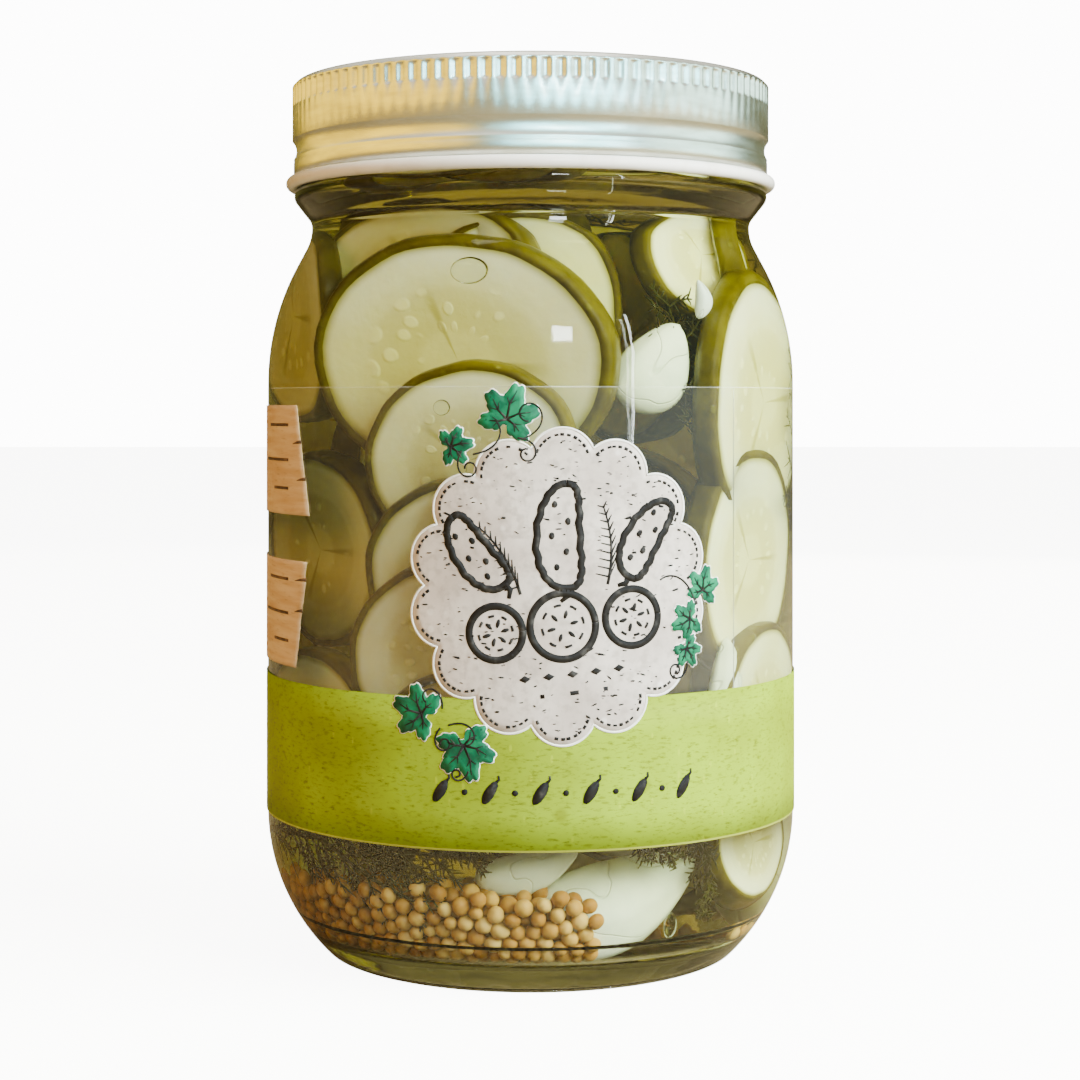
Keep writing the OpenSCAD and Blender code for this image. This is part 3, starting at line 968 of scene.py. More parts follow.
# %% [markdown]
# ## Pickle slices
# Each slice is a disc cut from a pickled cucumber: translucent pale flesh, a ring of soft seeds in three
# groups, and a thin olive peel round it. The flesh is a grid of rings and spokes, which gives the shader
# its two directions (round the slice, and out to the peel) as a UV map. The peel is its own ring.

# %% Slices
SPOKES = 56
RINGS = (0.1, 0.2, 0.3, 0.4, 0.5, 0.6, 0.69, 0.77, 0.84, 0.9, 0.94, 0.965)
PEEL = (
    (0.9, 0.86), (0.95, 0.97), (0.985, 0.9), (1.0, 0.4), (1.0, -0.4), (0.985, -0.9), (0.95, -0.97),
    (0.9, -0.86), (0.87, 0.0)
)
flesh_parts, flesh_marks, peel_parts = [], [], []
placed = []


def stand(facing, out, across, z, lean):
    """A slice's middle and its three directions: sideways, up its face, and out of its face."""
    turn, tip = math.radians(facing), math.radians(lean)
    outward = np.array([math.sin(turn), -math.cos(turn), 0.0])
    sideways = np.array([math.cos(turn), math.sin(turn), 0.0])
    above = np.array([0.0, 0.0, 1.0])
    normal = outward * math.cos(tip) - above * math.sin(tip)
    rise = above * math.cos(tip) + outward * math.sin(tip)
    return outward * out + sideways * across + above * z, sideways, rise, normal


def slice_at(facing, out, across, z, half_w, half_h, lean, thick, spin):
    """Adds a slice. It faces a turn from the front, with its middle that far out from the axis and across."""
    roll = math.radians(spin)
    middle, sideways, rise, normal = stand(facing, out, across, z, lean)
    placed.append(((middle, sideways, rise, normal), (half_w, half_h, thick)))
    spokes = np.linspace(0, 2 * math.pi, SPOKES, endpoint=False)
    phases = chance.uniform(0, 2 * math.pi, 4)
    rim = 1 / np.sqrt((np.cos(spokes) / half_w) ** 2 + (np.sin(spokes) / half_h) ** 2)
    rim *= 1 + 0.018 * np.cos(2 * spokes + phases[0]) + 0.014 * np.cos(3 * spokes + phases[1])
    rim *= 1 + 0.006 * np.cos(7 * spokes + phases[2]) + 0.004 * np.cos(13 * spokes + phases[3])
    warp = chance.normal(0, 0.35, 3)

    def point(share, height):
        x, y = rim * share * np.cos(spokes + roll), rim * share * np.sin(spokes + roll)
        u, v = x / half_w, y / half_h
        lift = height * thick / 2 + warp[0] * u * v + warp[1] * (u * u - v * v) * 0.7
        return middle + np.outer(x, sideways) + np.outer(y, rise) + np.outer(lift, normal)

    verts, faces, marks = [], [], []
    for side in (1, -1):
        base = len(verts)
        lift = side * thick / 2 * 0.93
        verts.append(tuple(middle + normal * lift))
        for share in RINGS:
            swell = 0.93 + 0.05 * math.sin(math.pi * share) - 0.9 * max(0.0, share - 0.88)
            verts.extend(map(tuple, point(share, side * swell)))
        for i in range(SPOKES):
            j = (i + 1) % SPOKES
            corner = [(i + 0.5, 0.0), (i, RINGS[0]), (i + 1, RINGS[0])]
            faces.append((base, base + 1 + i, base + 1 + j)[::side])
            marks.extend(corner[::side])
            for k in range(len(RINGS) - 1):
                near, far = base + 1 + k * SPOKES, base + 1 + (k + 1) * SPOKES
                faces.append((near + i, far + i, far + j, near + j)[::side])
                corner = [(i, RINGS[k]), (i, RINGS[k + 1]), (i + 1, RINGS[k + 1]), (i + 1, RINGS[k])]
                marks.extend(corner[::side])
    top = 1 + (len(RINGS) - 1) * SPOKES
    low = top + 1 + len(RINGS) * SPOKES
    for i in range(SPOKES):
        j = (i + 1) % SPOKES
        faces.append((top + i, low + i, low + j, top + j))
        marks.extend([(i, 0.965), (i, 0.965), (i + 1, 0.965), (i + 1, 0.965)])
    flesh_parts.append((verts, faces))
    tone = chance.uniform(0, 1)
    flesh_marks.extend((round_by / SPOKES * 18, share, tone) for round_by, share in marks)

    verts, faces = [], []
    for share, height in PEEL:
        verts.extend(map(tuple, point(share, height)))
    for k in range(len(PEEL)):
        near, far = k * SPOKES, (k + 1) % len(PEEL) * SPOKES
        faces += [
            (near + i, far + i, far + (i + 1) % SPOKES, near + (i + 1) % SPOKES) for i in range(SPOKES)
        ]
    peel_parts.append((verts, faces))


# Each row: facing, out, across, height, half width, half height, lean, thickness and spin
SLICES_BY_HAND = (
    # Front slices, laid like shingles down the front from the shoulder
    (-19, 26.2, 0.0, 86.6, 21.4, 16.6, 7, 4.2, -6),
    (-17, 29.3, 1.0, 73.2, 14.6, 13.4, 11, 3.2, 20),
    (-15, 29.6, 0.5, 57.4, 14.8, 13.6, 9, 4.2, -10),
    (-20, 30.0, 0.5, 46.0, 14.6, 13.4, 9, 4.2, 14),
    (-14, 29.6, 0.0, 31.5, 14.4, 13.0, 7, 4.2, 0.0),
    (-30, 20.5, -3.0, 95.0, 17.0, 15.2, 2, 4.2, 0.0),
    (2, 20.0, -2.0, 93.0, 13.0, 14.0, 2, 4.2, 0.0),
    # The right side: a big slice seen from its edge, a crescent behind and below it, and upright pieces
    (72, 29.0, 0.0, 81.0, 17.2, 17.4, 4, 4.2, 5),
    (66, 28.0, 0.0, 58.5, 12.6, 16.0, 4, 4.6, 0.0),
    (73, 28.4, 0.0, 36.0, 13.4, 13.2, 6, 4.2, 0.0),
    (112, 20.0, -14.0, 99.0, 8.0, 10.0, -4, 5.0, 0.0),
    (58, 24.0, 0.0, 99.5, 11.0, 9.0, -14, 3.4, 0.0),
    (66, 28.6, 0.0, 17.6, 9.6, 7.6, -12, 5.0, 0.0),
    (24, 24.0, 2.0, 29.0, 13.4, 11.4, 5, 4.2, 0.0),
    # The left side behind the boards
    (-66, 26.5, 0.0, 60.0, 14.8, 14.0, 7, 4.2, 0.0),
    (-84, 27.0, 0.0, 92.0, 15.0, 14.0, 7, 4.2, 0.0),
    (-62, 29.0, 0.0, 33.0, 14.8, 13.0, 7, 4.2, 0.0),
)
for row in SLICES_BY_HAND:
    slice_at(*row)
front_count = len(flesh_parts)


# %% [markdown]
# ## Slices round the sides and back
# These are laid by rule. Each is tested at points all over it against the slices already there, and is
# moved a little further in, up or down until it is clear of them, or left out.

# %% Slices by rule
def spots_of(pose, size):
    """Points all over a slice, to test against others."""
    middle, sideways, rise, normal = pose
    spots = [middle]
    for share in (0.35, 0.65, 0.85, 1.0):
        for t in np.linspace(0, 2 * math.pi, 32, endpoint=False):
            for depth in (-0.5, 0.0, 0.5):
                flat = sideways * (size[0] * share * math.cos(t)) + rise * (size[1] * share * math.sin(t))
                spots.append(middle + flat + normal * (size[2] * depth))
    return np.array(spots)


def passes_through(pose, size):
    """Whether a slice would pass through one that is already there."""
    for old_pose, old_size in placed:
        if np.linalg.norm(pose[0] - old_pose[0]) > size[0] + old_size[0] + 2.0:
            continue
        for (p, n), (q, m) in (((pose, size), (old_pose, old_size)), ((old_pose, old_size), (pose, size))):
            off = spots_of(p, n) - q[0]
            across, along, deep = off @ q[1], off @ q[2], np.abs(off @ q[3])
            if np.any(((across / m[0]) ** 2 + (along / m[1]) ** 2 < 1.0) & (deep < m[2] / 2 + 0.35)):
                return True
    return False


def tuck(facing, out, across, z, half_w, half_h, lean, thick, spin):
    """Adds a slice at its place, or a little further in, up or down where another is in the way."""
    for lift in (0.0, 3.0, -3.0, 6.0, -6.0):
        for inward in np.arange(0.0, 6.5, 0.8):
            pose = stand(facing, out - inward, across, z + lift, lean)
            if not passes_through(pose, (half_w, half_h, thick)):
                slice_at(facing, out - inward, across, z + lift, half_w, half_h, lean, thick, spin)
                return 0
    return 1


# The rest of the way round: columns against the wall in a brick pattern, then an inner layer
SLICE_ROOM_R = 35.8
left_out = 0
for k, facing in enumerate((104, 141, 178, 215, 252)):
    for z in (92.0, 63.5, 35.5) if k % 2 == 0 else (77.5, 49.0, 22.5):
        half = chance.uniform(12.8, 14.4)
        chord = math.sqrt(SLICE_ROOM_R**2 - (half * 1.02) ** 2)
        out = chord - 2.4 - (2.6 if z < 30 else 0) - (1.2 if z > 90 else 0)
        tall, spin = half * chance.uniform(0.93, 1.03), chance.uniform(0, 180)
        left_out += tuck(
            facing + chance.normal(0, 2), out, 0.0, z, half, tall, chance.normal(4, 2), 4.0, spin
        )
for facing, z in (
    (120, 88), (160, 66), (200, 92), (240, 74), (285, 52), (120, 46), (200, 44), (160, 100), (236, 101)
):
    half = chance.uniform(12.0, 14.5)
    tall, spin = half * chance.uniform(0.9, 1.0), chance.uniform(0, 180)
    out, across = chance.uniform(17.5, 20.5), chance.normal(0, 1)
    left_out += tuck(facing, out, across, z, half, tall, chance.normal(0, 6), 4.0, spin)
for facing, z, out in ((200, 60, 6), (80, 40, 8), (150, 24, 7), (300, 100, 8)):
    left_out += tuck(facing, out, 0.0, z, 14.0, 14.5, chance.normal(0, 14), 4.4, 0.0)

slices = new_piece("pickle_slices", *joined(flesh_parts), "pickle_flesh")
uv = slices.data.uv_layers.new(name="spokes")
marks = np.array(flesh_marks, np.float32)
uv.data.foreach_set("uv", marks[:, :2].ravel())
tone = slices.data.attributes.new("tone", "FLOAT", "CORNER")
tone.data.foreach_set("value", marks[:, 2].copy())
peels = new_piece("pickle_peels", *joined(peel_parts), "pickle_skin")
print("%d slices, %d of them at the front, %d left out" % (len(flesh_parts), front_count, left_out))

flesh, tree, shader = finish_of("pickle_flesh", paint(0.86, 0.86, 0.62), 0.32, Subsurface_Weight=0.6)
shader.inputs["Subsurface Radius"].default_value = (1.0, 0.9, 0.5)
shader.inputs["Subsurface Scale"].default_value = 0.0035
place = place_in(tree)
spokes_uv = add(tree, "ShaderNodeUVMap", uv_map="spokes").outputs[0]
parts = add(tree, "ShaderNodeSeparateXYZ", {0: spokes_uv})
round_by, share = parts.outputs[0], parts.outputs[1]
tone = add(tree, "ShaderNodeAttribute", attribute_name="tone").outputs["Fac"]
clouds = mottled(tree, place, 160.0, 0.3, 0.7)
colour = mixed(tree, clouds, paint(0.99, 0.98, 0.93), paint(0.96, 0.94, 0.84))
colour = mixed(tree, times(tree, tone, 0.5), colour, paint(0.90, 0.88, 0.72))
core = ranged(tree, share, 0.68, 0.36)
colour = mixed(tree, times(tree, core, 0.5), colour, paint(0.88, 0.86, 0.62))
# Three groups of seeds between three pale walls
thirds = sums(tree, "ABSOLUTE", sums(tree, "SINE", times(tree, round_by, math.pi / 6), 0.0), 0.0)
wall_line = ranged(tree, thirds, 0.16, 0.03)
seed_place = add(
    tree, "ShaderNodeCombineXYZ", {0: round_by, 1: times(tree, share, 5.5), 2: times(tree, tone, 7.0)}
).outputs[0]
seeds = add(tree, "ShaderNodeTexVoronoi", {"Vector": seed_place, "Scale": 1.0, "Randomness": 0.7})
seed_shape = ranged(tree, seeds.outputs["Distance"], 0.34, 0.2)
in_ring = times(tree, ranged(tree, share, 0.2, 0.28), ranged(tree, share, 0.62, 0.54))
seed_mask = times(tree, seed_shape, in_ring)
colour = mixed(tree, times(tree, seed_mask, 0.8), colour, paint(0.98, 0.96, 0.82))
seed_edge = times(tree, in_ring, sums(tree, "SUBTRACT", 1.0, seed_shape))
colour = mixed(tree, times(tree, seed_edge, 0.26), colour, paint(0.72, 0.68, 0.38))
colour = mixed(tree, times(tree, times(tree, wall_line, core), 0.6), colour, paint(0.62, 0.58, 0.28))
ring_line = times(tree, ranged(tree, share, 0.56, 0.64), ranged(tree, share, 0.72, 0.65))
colour = mixed(tree, times(tree, ring_line, 0.12), colour, paint(0.74, 0.73, 0.44))
near_peel = ranged(tree, share, 0.84, 0.94)
colour = mixed(tree, near_peel, colour, paint(0.60, 0.57, 0.18))
coloured(tree, shader, colour)
veins = add(tree, "ShaderNodeTexNoise", {"Vector": place, "Scale": 700.0, "Detail": 3.0}).outputs["Fac"]
bumped(tree, shader, sums(tree, "ADD", times(tree, seed_mask, 0.6), times(tree, veins, 0.5)), 0.00015)
slices.data.materials.append(flesh)

peel, tree, shader = finish_of("pickle_peel", paint(0.36, 0.34, 0.04), 0.35, Subsurface_Weight=0.15)
shader.inputs["Subsurface Radius"].default_value = (1.0, 0.9, 0.3)
shader.inputs["Subsurface Scale"].default_value = 0.0012
place = place_in(tree)
clouds = mottled(tree, place, 230.0, 0.3, 0.7)
colour = mixed(tree, clouds, paint(0.36, 0.32, 0.0), paint(0.25, 0.21, 0.0))
warts = flecked(tree, place, 420.0, 0.2)
coloured(tree, shader, mixed(tree, times(tree, warts, 0.5), colour, paint(0.42, 0.40, 0.06)))
bumped(tree, shader, sums(tree, "ADD", warts, clouds), 0.0001)
peels.data.materials.append(peel)

# %% [markdown]
# ## Garlic
# A clove is a plump wedge: pointed at one end, flat where its neighbours pressed on it, with soft
# lengthwise ridges. Each is a lathe-like grid with a changing radius, flattened on two sides and a little
# bent.

# %% Garlic cloves
garlic_parts = []


def axes_towards(facing, lean):
    """Three directions for a lying piece: along it, across it and up from it."""
    turn, tip = math.radians(facing), math.radians(lean)
    along = np.array([math.cos(turn) * math.cos(tip), math.sin(turn) * math.cos(tip), math.sin(tip)])
    side = np.array([math.sin(turn), -math.cos(turn), 0.0])
    return along, side, np.cross(along, side)


def clove(place, facing, lean, length, width, depth, blunt):
    """Adds a clove with its middle at a place; it lies along the wall at that turn, raised by the lean."""
    along, side, above = axes_towards(facing, lean)
    phase = chance.uniform(0, 6.28)
    verts, faces, stations, spokes = [], [], 22, 28
    for k in range(stations + 1):
        t = k / stations
        girth = math.sin(math.pi * t**blunt) ** 0.62 if 0 < t < 1 else 0.0
        for i in range(spokes if 0 < k < stations else 1):
            a = 2 * math.pi * i / spokes
            lumps = 1 + 0.05 * math.cos(2 * a + phase) + 0.035 * math.cos(5 * a + phase)
            reach = girth * (lumps + 0.02 * math.cos(9 * a - phase))
            p = np.asarray(place) + along * (length * (t - 0.5)) + above * math.sin(math.pi * t)
            p = p + side * (depth / 2 * reach * math.cos(a)) + above * (width / 2 * reach * math.sin(a))
            verts.append(tuple(p))
    last = len(verts) - 1
    for i in range(spokes):
        j = (i + 1) % spokes
        faces.append((0, 1 + j, 1 + i))
        for k in range(stations - 2):
            a, b = 1 + k * spokes, 1 + (k + 1) * spokes
            faces.append((a + i, a + j, b + j, b + i))
        a = 1 + (stations - 2) * spokes
        faces.append((a + i, a + j, last))
    garlic_parts.append((verts, faces))


def by_wall(turn, out, z):
    """A point at a turn from the front, a distance out from the axis and a height."""
    a = math.radians(turn)
    return np.array([out * math.sin(a), -out * math.cos(a), z])


# Each row: turn, out and height of the middle, then facing, lean, length, width, depth and bluntness
for turn, out, z, *shape in (
    (24, 26.6, 13.4, 22, 20, 23.0, 13.0, 10.0, 0.62),
    (-1, 30.0, 18.2, -1, 16, 14.0, 5.6, 4.0, 0.8),
    (-46, 28.3, 12.0, -44, -36, 15.0, 3.2, 2.8, 0.8),
    (31, 30.2, 85.8, 28, 52, 13.5, 9.5, 5.0, 0.75),
    (52, 31.0, 42.0, 52, 80, 12.0, 6.0, 4.0, 0.8),
    (43, 32.4, 94.6, 43, 86, 5.4, 2.8, 2.2, 0.9),
    (128, 26.0, 15.0, 128, 12, 21.0, 11.0, 10.0, 0.65),
    (205, 27.5, 24.0, 205, 60, 18.0, 9.5, 8.0, 0.7),
    (250, 26.0, 14.0, 250, -14, 20.0, 10.0, 9.0, 0.66),
):
    clove(by_wall(turn, out, z), *shape)
garlic = new_piece("garlic_cloves", *joined(garlic_parts), "garlic")
garlic_skin, tree, shader = finish_of("garlic_flesh", paint(0.94, 0.97, 0.98), 0.3, Subsurface_Weight=0.35)
shader.inputs["Subsurface Radius"].default_value = (1.0, 1.0, 0.85)
shader.inputs["Subsurface Scale"].default_value = 0.003
place = place_in(tree)
clouds = mottled(tree, place, 150.0, 0.3, 0.75)
colour = mixed(tree, clouds, paint(0.95, 0.97, 0.98), paint(0.84, 0.88, 0.88))
cracks = add(tree, "ShaderNodeTexNoise", {"Vector": place, "Scale": 95.0, "Detail": 1.0, "Distortion": 0.6})
crack_mask = ranged(
    tree, sums(tree, "ABSOLUTE", sums(tree, "SUBTRACT", cracks.outputs["Fac"], 0.5), 0.0), 0.012, 0.0
)
coloured(tree, shader, mixed(tree, times(tree, crack_mask, 0.12), colour, paint(0.60, 0.58, 0.42)))
bumped(tree, shader, sums(tree, "SUBTRACT", clouds, crack_mask), 0.00015)
garlic.data.materials.append(garlic_skin)

# %% [markdown]
# ## Mustard seeds
# Several hundred seeds have sunk to the heel of the jar. Placing them at random leaves them floating, so
# they are dropped and pushed apart here as balls: each step pulls them down, separates those that overlap,
# and keeps them inside the glass and out of the garlic. The settled balls become slightly uneven, oval
# seeds.

# %% Mustard seeds
SEED_COUNT, SETTLE_STEPS = 610, 240
front_share = 530
HEAP_END = math.radians(15)
seed_r = chance.normal(1.16, 0.1, SEED_COUNT).clip(0.92, 1.36)
seed_turn = np.radians(
    np.concatenate([chance.uniform(-84, 8, front_share), chance.uniform(60, 260, SEED_COUNT - front_share)])
)
seed_out = chance.uniform(26.0, 33.0, SEED_COUNT)
SEED_CORE_R = 24.6
seed_at = np.stack(
    [seed_out * np.sin(seed_turn), -seed_out * np.cos(seed_turn), chance.uniform(9.0, 24.0, SEED_COUNT)],
    axis=1
)
obstacles = [
    (by_wall(t, o, z), r)
    for t, o, z, r in (
        (13, 27.0, 10.6, 3.6), (20, 26.6, 12.4, 6.0), (-44, 28.4, 12.4, 1.5), (-39, 28.2, 10.6, 1.5),
        (-50, 28.4, 14.4, 1.5), (128, 26, 15, 6), (250, 26, 14, 6)
    )
]


def keep_inside(points, radii):
    """Pushes balls back inside the heel, the corner and the floor of the glass."""
    out = np.hypot(points[:, 0], points[:, 1])
    safe = np.maximum(out, 1e-6)
    floor = FLOOR_T + FLOOR_RISE * np.clip(1 - (out / corner_x) ** 2, 0, 1) + radii
    points[:, 2] = np.maximum(points[:, 2], floor)
    new_out = np.clip(out, SEED_CORE_R, None)
    for x, z, r in ((heel_x, HEEL_H, heel_in_r), (corner_x, corner_z, FLOOR_ARC_R)):
        away_x, away_z = new_out - x, points[:, 2] - z
        far = np.hypot(away_x, away_z)
        bad = (far > r - radii) & (away_z < 0) & (away_x > 0)
        shrink = np.where(bad, (r - radii) / np.maximum(far, 1e-6), 1.0)
        new_out = x + away_x * shrink
        points[:, 2] = z + away_z * shrink
    new_out = np.minimum(new_out, body_r - GLASS_T - radii)
    points[:, :2] *= (new_out / safe)[:, None]
    # The front heap ends at the big clove
    turns = np.arctan2(points[:, 0], -points[:, 1])
    past = (turns > HEAP_END) & (turns < HEAP_END + 0.6)
    turns[past] = HEAP_END - 0.002
    points[past, 0], points[past, 1] = (new_out * np.sin(turns))[past], (-new_out * np.cos(turns))[past]
    return points


for step in range(SETTLE_STEPS):
    seed_at[:, 2] -= 0.16 if step < SETTLE_STEPS * 0.8 else 0.05
    for _ in range(2):
        apart = seed_at[:, None, :] - seed_at[None, :, :]
        gap = np.sqrt((apart**2).sum(axis=2)) + np.eye(SEED_COUNT) * 99
        deep = np.clip(seed_r[:, None] + seed_r[None, :] - gap, 0, None)
        seed_at += (apart / gap[:, :, None] * (deep * 0.38)[:, :, None]).sum(axis=1)
        for centre, r in obstacles:
            away = seed_at - centre
            far = np.linalg.norm(away, axis=1)
            push = np.clip(r + seed_r - far, 0, None)
            seed_at += away / far[:, None] * push[:, None]
        seed_at = keep_inside(seed_at, seed_r)
print("seeds settled between %.1f and %.1f" % (seed_at[:, 2].min(), seed_at[:, 2].max()))

ball = bmesh.new()
bmesh.ops.create_icosphere(ball, subdivisions=3, radius=1.0)
ball_verts = np.array([v.co for v in ball.verts])
ball_faces = np.array([[v.index for v in f.verts] for f in ball.faces])
ball.free()
all_verts, all_faces, seed_tones = [], [], []
for k, (centre, r) in enumerate(zip(seed_at, seed_r)):
    squash = chance.uniform(0.86, 1.0, 3) * r * 1.03
    spin = np.linalg.qr(chance.normal(size=(3, 3)))[0]
    dents = 1 + 0.025 * np.sin(ball_verts @ chance.normal(0, 2.2, 3) + chance.uniform(0, 6))
    all_verts.append((ball_verts * dents[:, None] * squash) @ spin + centre)
    all_faces.append(ball_faces + k * len(ball_verts))
    seed_tones.append(np.full(len(ball_verts), chance.beta(2.0, 2.0)))
mustard = new_piece(
    "mustard_seeds", np.concatenate(all_verts), np.concatenate(all_faces).tolist(), "mustard_seed"
)
tone = mustard.data.attributes.new("tone", "FLOAT", "POINT")
tone.data.foreach_set("value", np.concatenate(seed_tones).astype(np.float32))

seed_coat, tree, shader = finish_of("mustard_coat", paint(0.80, 0.60, 0.30), 0.38, Subsurface_Weight=0.25)
shader.inputs["Subsurface Radius"].default_value = (1.0, 0.7, 0.4)
shader.inputs["Subsurface Scale"].default_value = 0.0008
place = place_in(tree)
tone = add(tree, "ShaderNodeAttribute", attribute_name="tone").outputs["Fac"]
tones = add(tree, "ShaderNodeValToRGB", {"Fac": tone})
stops = (
    (0.0, paint(0.52, 0.34, 0.08)), (0.3, paint(0.67, 0.47, 0.17)), (0.6, paint(0.76, 0.59, 0.28)),
    (1.0, paint(0.84, 0.71, 0.44))
)
ramp = tones.color_ramp
ramp.elements[0].position, ramp.elements[0].color = stops[0]
ramp.elements[1].position, ramp.elements[1].color = stops[-1]
for position, shade in stops[1:-1]:
    ramp.elements.new(position).color = shade
clouds = mottled(tree, place, 500.0, 0.4, 0.7)
colour = mixed(tree, times(tree, clouds, 0.3), tones.outputs["Color"], paint(0.58, 0.40, 0.16))
coloured(tree, shader, colour)
bumped(tree, shader, clouds, 0.00005)
mustard.data.materials.append(seed_coat)

# %% [markdown]
# ## Dill
# Dill fronds hang above the seeds and between the slices: a stem, side stems and hair-fine leaves. Each is
# a thin tube along a gently wandering path, with four sides, which is enough for something a quarter of a
# millimetre thick.

# %% Dill fronds
dill_parts = []


def tube(points, radii, sides=4):
    """Adds a tube along points, with a radius at each."""
    points = np.asarray(points, float)
    radii = np.broadcast_to(np.asarray(radii, float), (len(points),))
    along = np.gradient(points, axis=0)
    along /= np.linalg.norm(along, axis=1)[:, None]
    guide = np.array([0.31, 0.52, 0.79])
    first = np.cross(along, guide)
    first /= np.linalg.norm(first, axis=1)[:, None]
    second = np.cross(along, first)
    verts, faces = [], []
    for p, r, u, v in zip(points, radii, first, second):
        for i in range(sides):
            a = 2 * math.pi * i / sides
            verts.append(tuple(p + r * (u * math.cos(a) + v * math.sin(a))))
    for k in range(len(points) - 1):
        for i in range(sides):
            a, b, j = k * sides, (k + 1) * sides, (i + 1) % sides
            faces.append((a + i, a + j, b + j, b + i))
    last = (len(points) - 1) * sides
    faces += [tuple(range(sides))[::-1], tuple(last + i for i in range(sides))]
    dill_parts.append((verts, faces))


def near_wall(turn, z, depth):
    """A point a depth inside the glass at a turn and a height."""
    room = body_r - GLASS_T
    if z < HEEL_H:
        room = heel_x + math.sqrt(max(1.0, heel_in_r**2 - (HEEL_H - z) ** 2))
    if z > shoulder_z:
        room = body_r - SHOULDER_ARC_R + math.sqrt(
            max(1.0, (SHOULDER_ARC_R - GLASS_T) ** 2 - (z - shoulder_z) ** 2)
        )
    return by_wall(turn, room - depth, z)

FROND_R = 33.0


def frond(turn, z, heading, length, depth, leaves=9, fine=5):
    """Adds a frond that grows along the wall: the heading is its direction, 0 to the right and 90 up."""
    heading = math.radians(heading)
    stem = []
    for k in range(leaves + 1):
        stem.append((turn, z))
        turn += math.degrees(length / leaves * math.cos(heading) / FROND_R)
        z += length / leaves * math.sin(heading)
        heading += chance.normal(0, 0.12)
    tube([near_wall(t, h, depth + 0.4) for t, h in stem], np.linspace(0.42, 0.2, len(stem)), 5)
    for k, (t, h) in enumerate(stem[1:]):
        for side in (-1, 1):
            way = heading + side * chance.uniform(0.6, 1.1)
            reach = length * 0.42 * (1 - 0.6 * k / leaves) * chance.uniform(0.7, 1.1)
            line, a, b, deep = [], t, h, depth
            for _ in range(6):
                line.append((a, b, deep))
                a += math.degrees(reach / 5 * math.cos(way) / FROND_R)
                b += reach / 5 * math.sin(way)
                deep = max(0.4, deep + chance.normal(0, 0.3))
                way += chance.normal(0, 0.15)
            tube([near_wall(*p) for p in line], np.linspace(0.2, 0.1, 6))
            for a, b, deep in line[1:fine]:
                for hair in (-1, 1):
                    tip = way + hair * chance.uniform(0.5, 1.0)
                    reach_2 = reach * 0.38 * chance.uniform(0.6, 1.2)
                    end = (
                        a + math.degrees(reach_2 * math.cos(tip) / FROND_R), b + reach_2 * math.sin(tip),
                        deep + chance.normal(0, 0.35)
                    )
                    middle = ((a + end[0]) / 2, (b + end[1]) / 2, deep)
                    tube(
                        [
                            near_wall(*p)
                            for p in ((a, b, deep), middle, (end[0], end[1], max(0.35, end[2])))
                        ],
                        (0.14, 0.13, 0.07)
                    )


for turn, z, heading, length, depth in (
    (-62, 20.5, -4, 22, 1.2),
    (-48, 21.5, -10, 20, 1.6),
    (-40, 19.0, 10, 18, 1.4),
    (-24, 22.5, -8, 9, 1.4),
    (-70, 19.0, 10, 16, 2.2),
    (20, 22.5, -25, 8, 0.8),
    (40, 22.0, -60, 12, 4.0),
    (47, 72.0, 100, 22, 6.0),
    (88, 60.0, 80, 26, 1.2),
    (160, 84.0, 60, 24, 1.0),
    (195, 30.0, 20, 24, 1.2),
    (236, 66.0, 95, 26, 1.0),
    (140, 20.0, 5, 24, 1.4),
    (275, 18.0, 12, 20, 1.4),
):
    frond(turn, z, heading, length, depth)
dill = new_piece("dill_fronds", *joined(dill_parts), "dill")
dill_leaf, tree, shader = finish_of("dill_leaf", paint(0.27, 0.28, 0.09), 0.5)
place = place_in(tree)
clouds = mottled(tree, place, 300.0, 0.35, 0.65)
coloured(tree, shader, mixed(tree, clouds, paint(0.20, 0.20, 0.03), paint(0.12, 0.09, 0.01)))
bumped(tree, shader, clouds, 0.00003)
dill.data.materials.append(dill_leaf)

# %% [markdown]
# ## Air bubbles
# A few bubbles are caught between the slices and the glass. A bubble is air inside brine, so its surface is
# the brine's, seen from the other side: the mesh is an ordinary ball with its faces turned inwards.

# %% Air bubbles
bubble_parts = []
for turn, z, wide, tall, deep in (
    (-14.5, 98.3, 2.6, 1.9, 0.9), (-19.0, 80.2, 1.2, 1.1, 0.6), (34, 9.6, 1.0, 1.8, 0.8),
    (150, 90, 1.6, 1.4, 0.8), (250, 84, 1.3, 1.2, 0.7)
):
    centre = near_wall(turn, z, deep + 0.15)
    outward = by_wall(turn, 1.0, 0.0)
    sideways = np.array([math.cos(math.radians(turn)), math.sin(math.radians(turn)), 0.0])
    upward = np.array([0.0, 0.0, 1.0])
    verts = [
        tuple(centre + sideways * p[0] * wide + upward * p[2] * tall + outward * p[1] * deep)
        for p in ball_verts
    ]
    bubble_parts.append((verts, [tuple(f)[::-1] for f in ball_faces.tolist()]))
bubbles = new_piece("air_bubbles", *joined(bubble_parts), "air_bubble")
air, tree, shader = finish_of("air_bubble", paint(0.97, 0.98, 0.96), 0.0, IOR=1.34, Transmission_Weight=1.0)
skin_waves = mottled(tree, place_in(tree), 260.0, 0.2, 0.8)
bumped(tree, shader, skin_waves, 0.00002)
lets_light_in(tree, shader, (0.97, 0.98, 0.96, 1.0))
bubbles.data.materials.append(air)

# %% [markdown]
# ## Light, floor and camera
# The light is plain and soft: a warm lamp on the left and a stronger cool one on the right, with a pale
# room. The room is dim behind the jar, so that the gaps between the slices stay deep. The camera stands
# level in front of the jar, at about two thirds of its height, and its frame is shifted down to take in the
# jar.

# %% Light, floor and camera


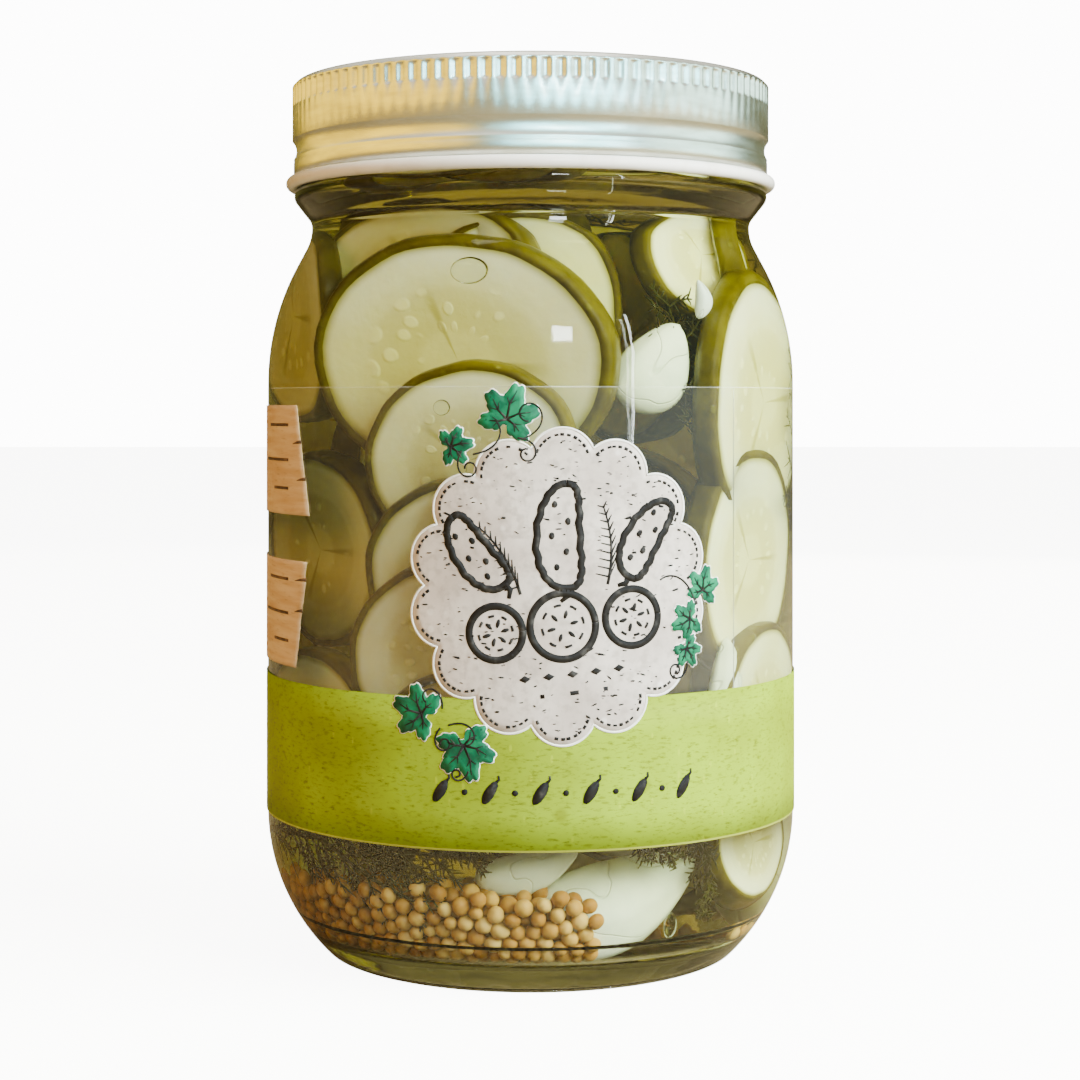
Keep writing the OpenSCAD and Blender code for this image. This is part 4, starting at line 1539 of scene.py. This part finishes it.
def lamp(name, place, size_x, size_y, power, colour, aim=(0.0, 0.0, 0.06)):
    """A rectangular lamp that faces a point."""
    light = bpy.data.lights.new(name, "AREA")
    light.shape, light.size, light.size_y = "RECTANGLE", size_x, size_y
    light.energy, light.color = power, colour
    made = bpy.data.objects.new(name, light)
    bpy.context.scene.collection.objects.link(made)
    made.location = place
    away = np.array(place) - np.array(aim)
    flat = math.hypot(away[0], away[1])
    made.rotation_euler = (math.atan2(flat, away[2]), 0.0, math.atan2(away[0], -away[1]))
    return made


left_lamp = lamp("left_lamp", (-0.78, -0.28, 0.40), 0.60, 0.50, 5.4, (1.0, 0.56, 0.15))
left_lamp.visible_glossy = False
left_lamp.visible_transmission = False
right_lamp = lamp("right_lamp", (0.68, -0.32, 0.42), 0.80, 0.55, 50.0, (0.88, 1.0, 0.93))
right_lamp.visible_glossy = False
right_lamp.visible_transmission = False
lamp("window_lamp", (0.16, -0.66, 0.34), 0.10, 0.08, 1.2, (0.90, 0.97, 1.0))
lamp("streak_lamp", (0.42, -0.46, 0.10), 0.012, 0.60, 0.8, (0.90, 0.97, 1.0), (0.0, 0.0, 0.08))
lamp("top_lamp", (0.0, -0.05, 0.8), 0.6, 0.6, 2.6, (1.0, 0.98, 0.94))
back_lamp = lamp("back_lamp", (0.2, 0.75, 0.35), 0.8, 0.6, 5.0, (1.0, 0.95, 0.80))
back_lamp.visible_transmission = False
back_lamp.visible_glossy = False

# The metal mirrors its surroundings, so it has broad lamps of its own, which light nothing else: four round
# it and one above
metal_only = bpy.data.collections.new("metal_only")
metal_only.objects.link(lid_shell)
WARM, COOL = (1.0, 0.64, 0.02), (0.30, 0.86, 1.0)
LID_LAMP_OUT = 0.62
for name, turn, power, colour in (
    ("lid_left", -56, 2.8, WARM),
    ("lid_far_left", -108, 2.4, WARM),
    ("lid_right", 18, 8.0, COOL),
    ("lid_far_right", 84, 4.4, (0.62, 0.96, 0.90)),
):
    side = math.radians(turn)
    made = lamp(
        name, (LID_LAMP_OUT * math.sin(side), -LID_LAMP_OUT * math.cos(side), 0.24), 0.62, 0.5, power,
        colour, (0.0, 0.0, 0.12)
    )
    made.light_linking.receiver_collection = metal_only

lid_above = lamp("lid_above", (0.0, 0.0, 1.0), 2.4, 2.4, 18.0, (1.0, 0.99, 0.95))
lid_above.light_linking.receiver_collection = metal_only

room = bpy.data.worlds.new("room")
room.use_nodes = True
bpy.context.scene.world = room
tree = room.node_tree
background = tree.nodes["Background"]
way = add(tree, "ShaderNodeSeparateXYZ", {0: add(tree, "ShaderNodeTexCoord").outputs["Generated"]})
to_right = ranged(tree, way.outputs["X"], -0.5, 0.35)
room_colour = mixed(tree, to_right, (0.24, 0.14, 0.02, 1.0), (0.22, 0.27, 0.20, 1.0))
behind = ranged(tree, way.outputs["Y"], -0.25, 0.35)
room_colour = mixed(tree, behind, room_colour, (0.17, 0.15, 0.04, 1.0))
room_seen = add(tree, "ShaderNodeLightPath").outputs["Is Camera Ray"]
room_colour = mixed(tree, room_seen, room_colour, (13.0, 13.0, 12.9, 1.0))
tree.links.new(room_colour, background.inputs["Color"])


def stage_sheet(name, corners):
    """A flat card or floor that isn't part of the jar."""
    mesh = bpy.data.meshes.new(name)
    mesh.from_pydata(corners, [], [(0, 1, 2, 3)])
    sheet = bpy.data.objects.new(name, mesh)
    bpy.context.scene.collection.objects.link(sheet)
    return sheet


floor = stage_sheet("floor", [(-4, -4, 0), (4, -4, 0), (4, 4, 0), (-4, 4, 0)])
pale_floor, tree, shader = finish_of("pale_floor", paint(0.97, 0.97, 0.96), 0.7)
floor_seen = add(tree, "ShaderNodeLightPath").outputs["Is Camera Ray"]
floor_clouds = mottled(tree, place_in(tree), 3.0, 0.2, 0.8)
floor_colour = mixed(tree, floor_clouds, paint(0.975, 0.975, 0.965), paint(0.965, 0.965, 0.955))
coloured(tree, shader, mixed(tree, floor_seen, paint(0.50, 0.44, 0.33), floor_colour))
shader.inputs["Emission Color"].default_value = (1.0, 1.0, 0.99, 1.0)
tree.links.new(times(tree, floor_seen, 9.0), shader.inputs["Emission Strength"])
floor.data.materials.append(pale_floor)

CAMERA_PLACE = (0.0, -0.3365, 0.0805)
camera = bpy.data.cameras.new("camera")
camera.sensor_width = 36.0
camera.lens = 74.6
camera.shift_x = 0.0088
camera.shift_y = -0.1246
camera_object = bpy.data.objects.new("camera", camera)
camera_object.location = CAMERA_PLACE
camera_object.rotation_euler = (math.pi / 2, 0.0, 0.0)
bpy.context.scene.collection.objects.link(camera_object)
bpy.context.scene.camera = camera_object
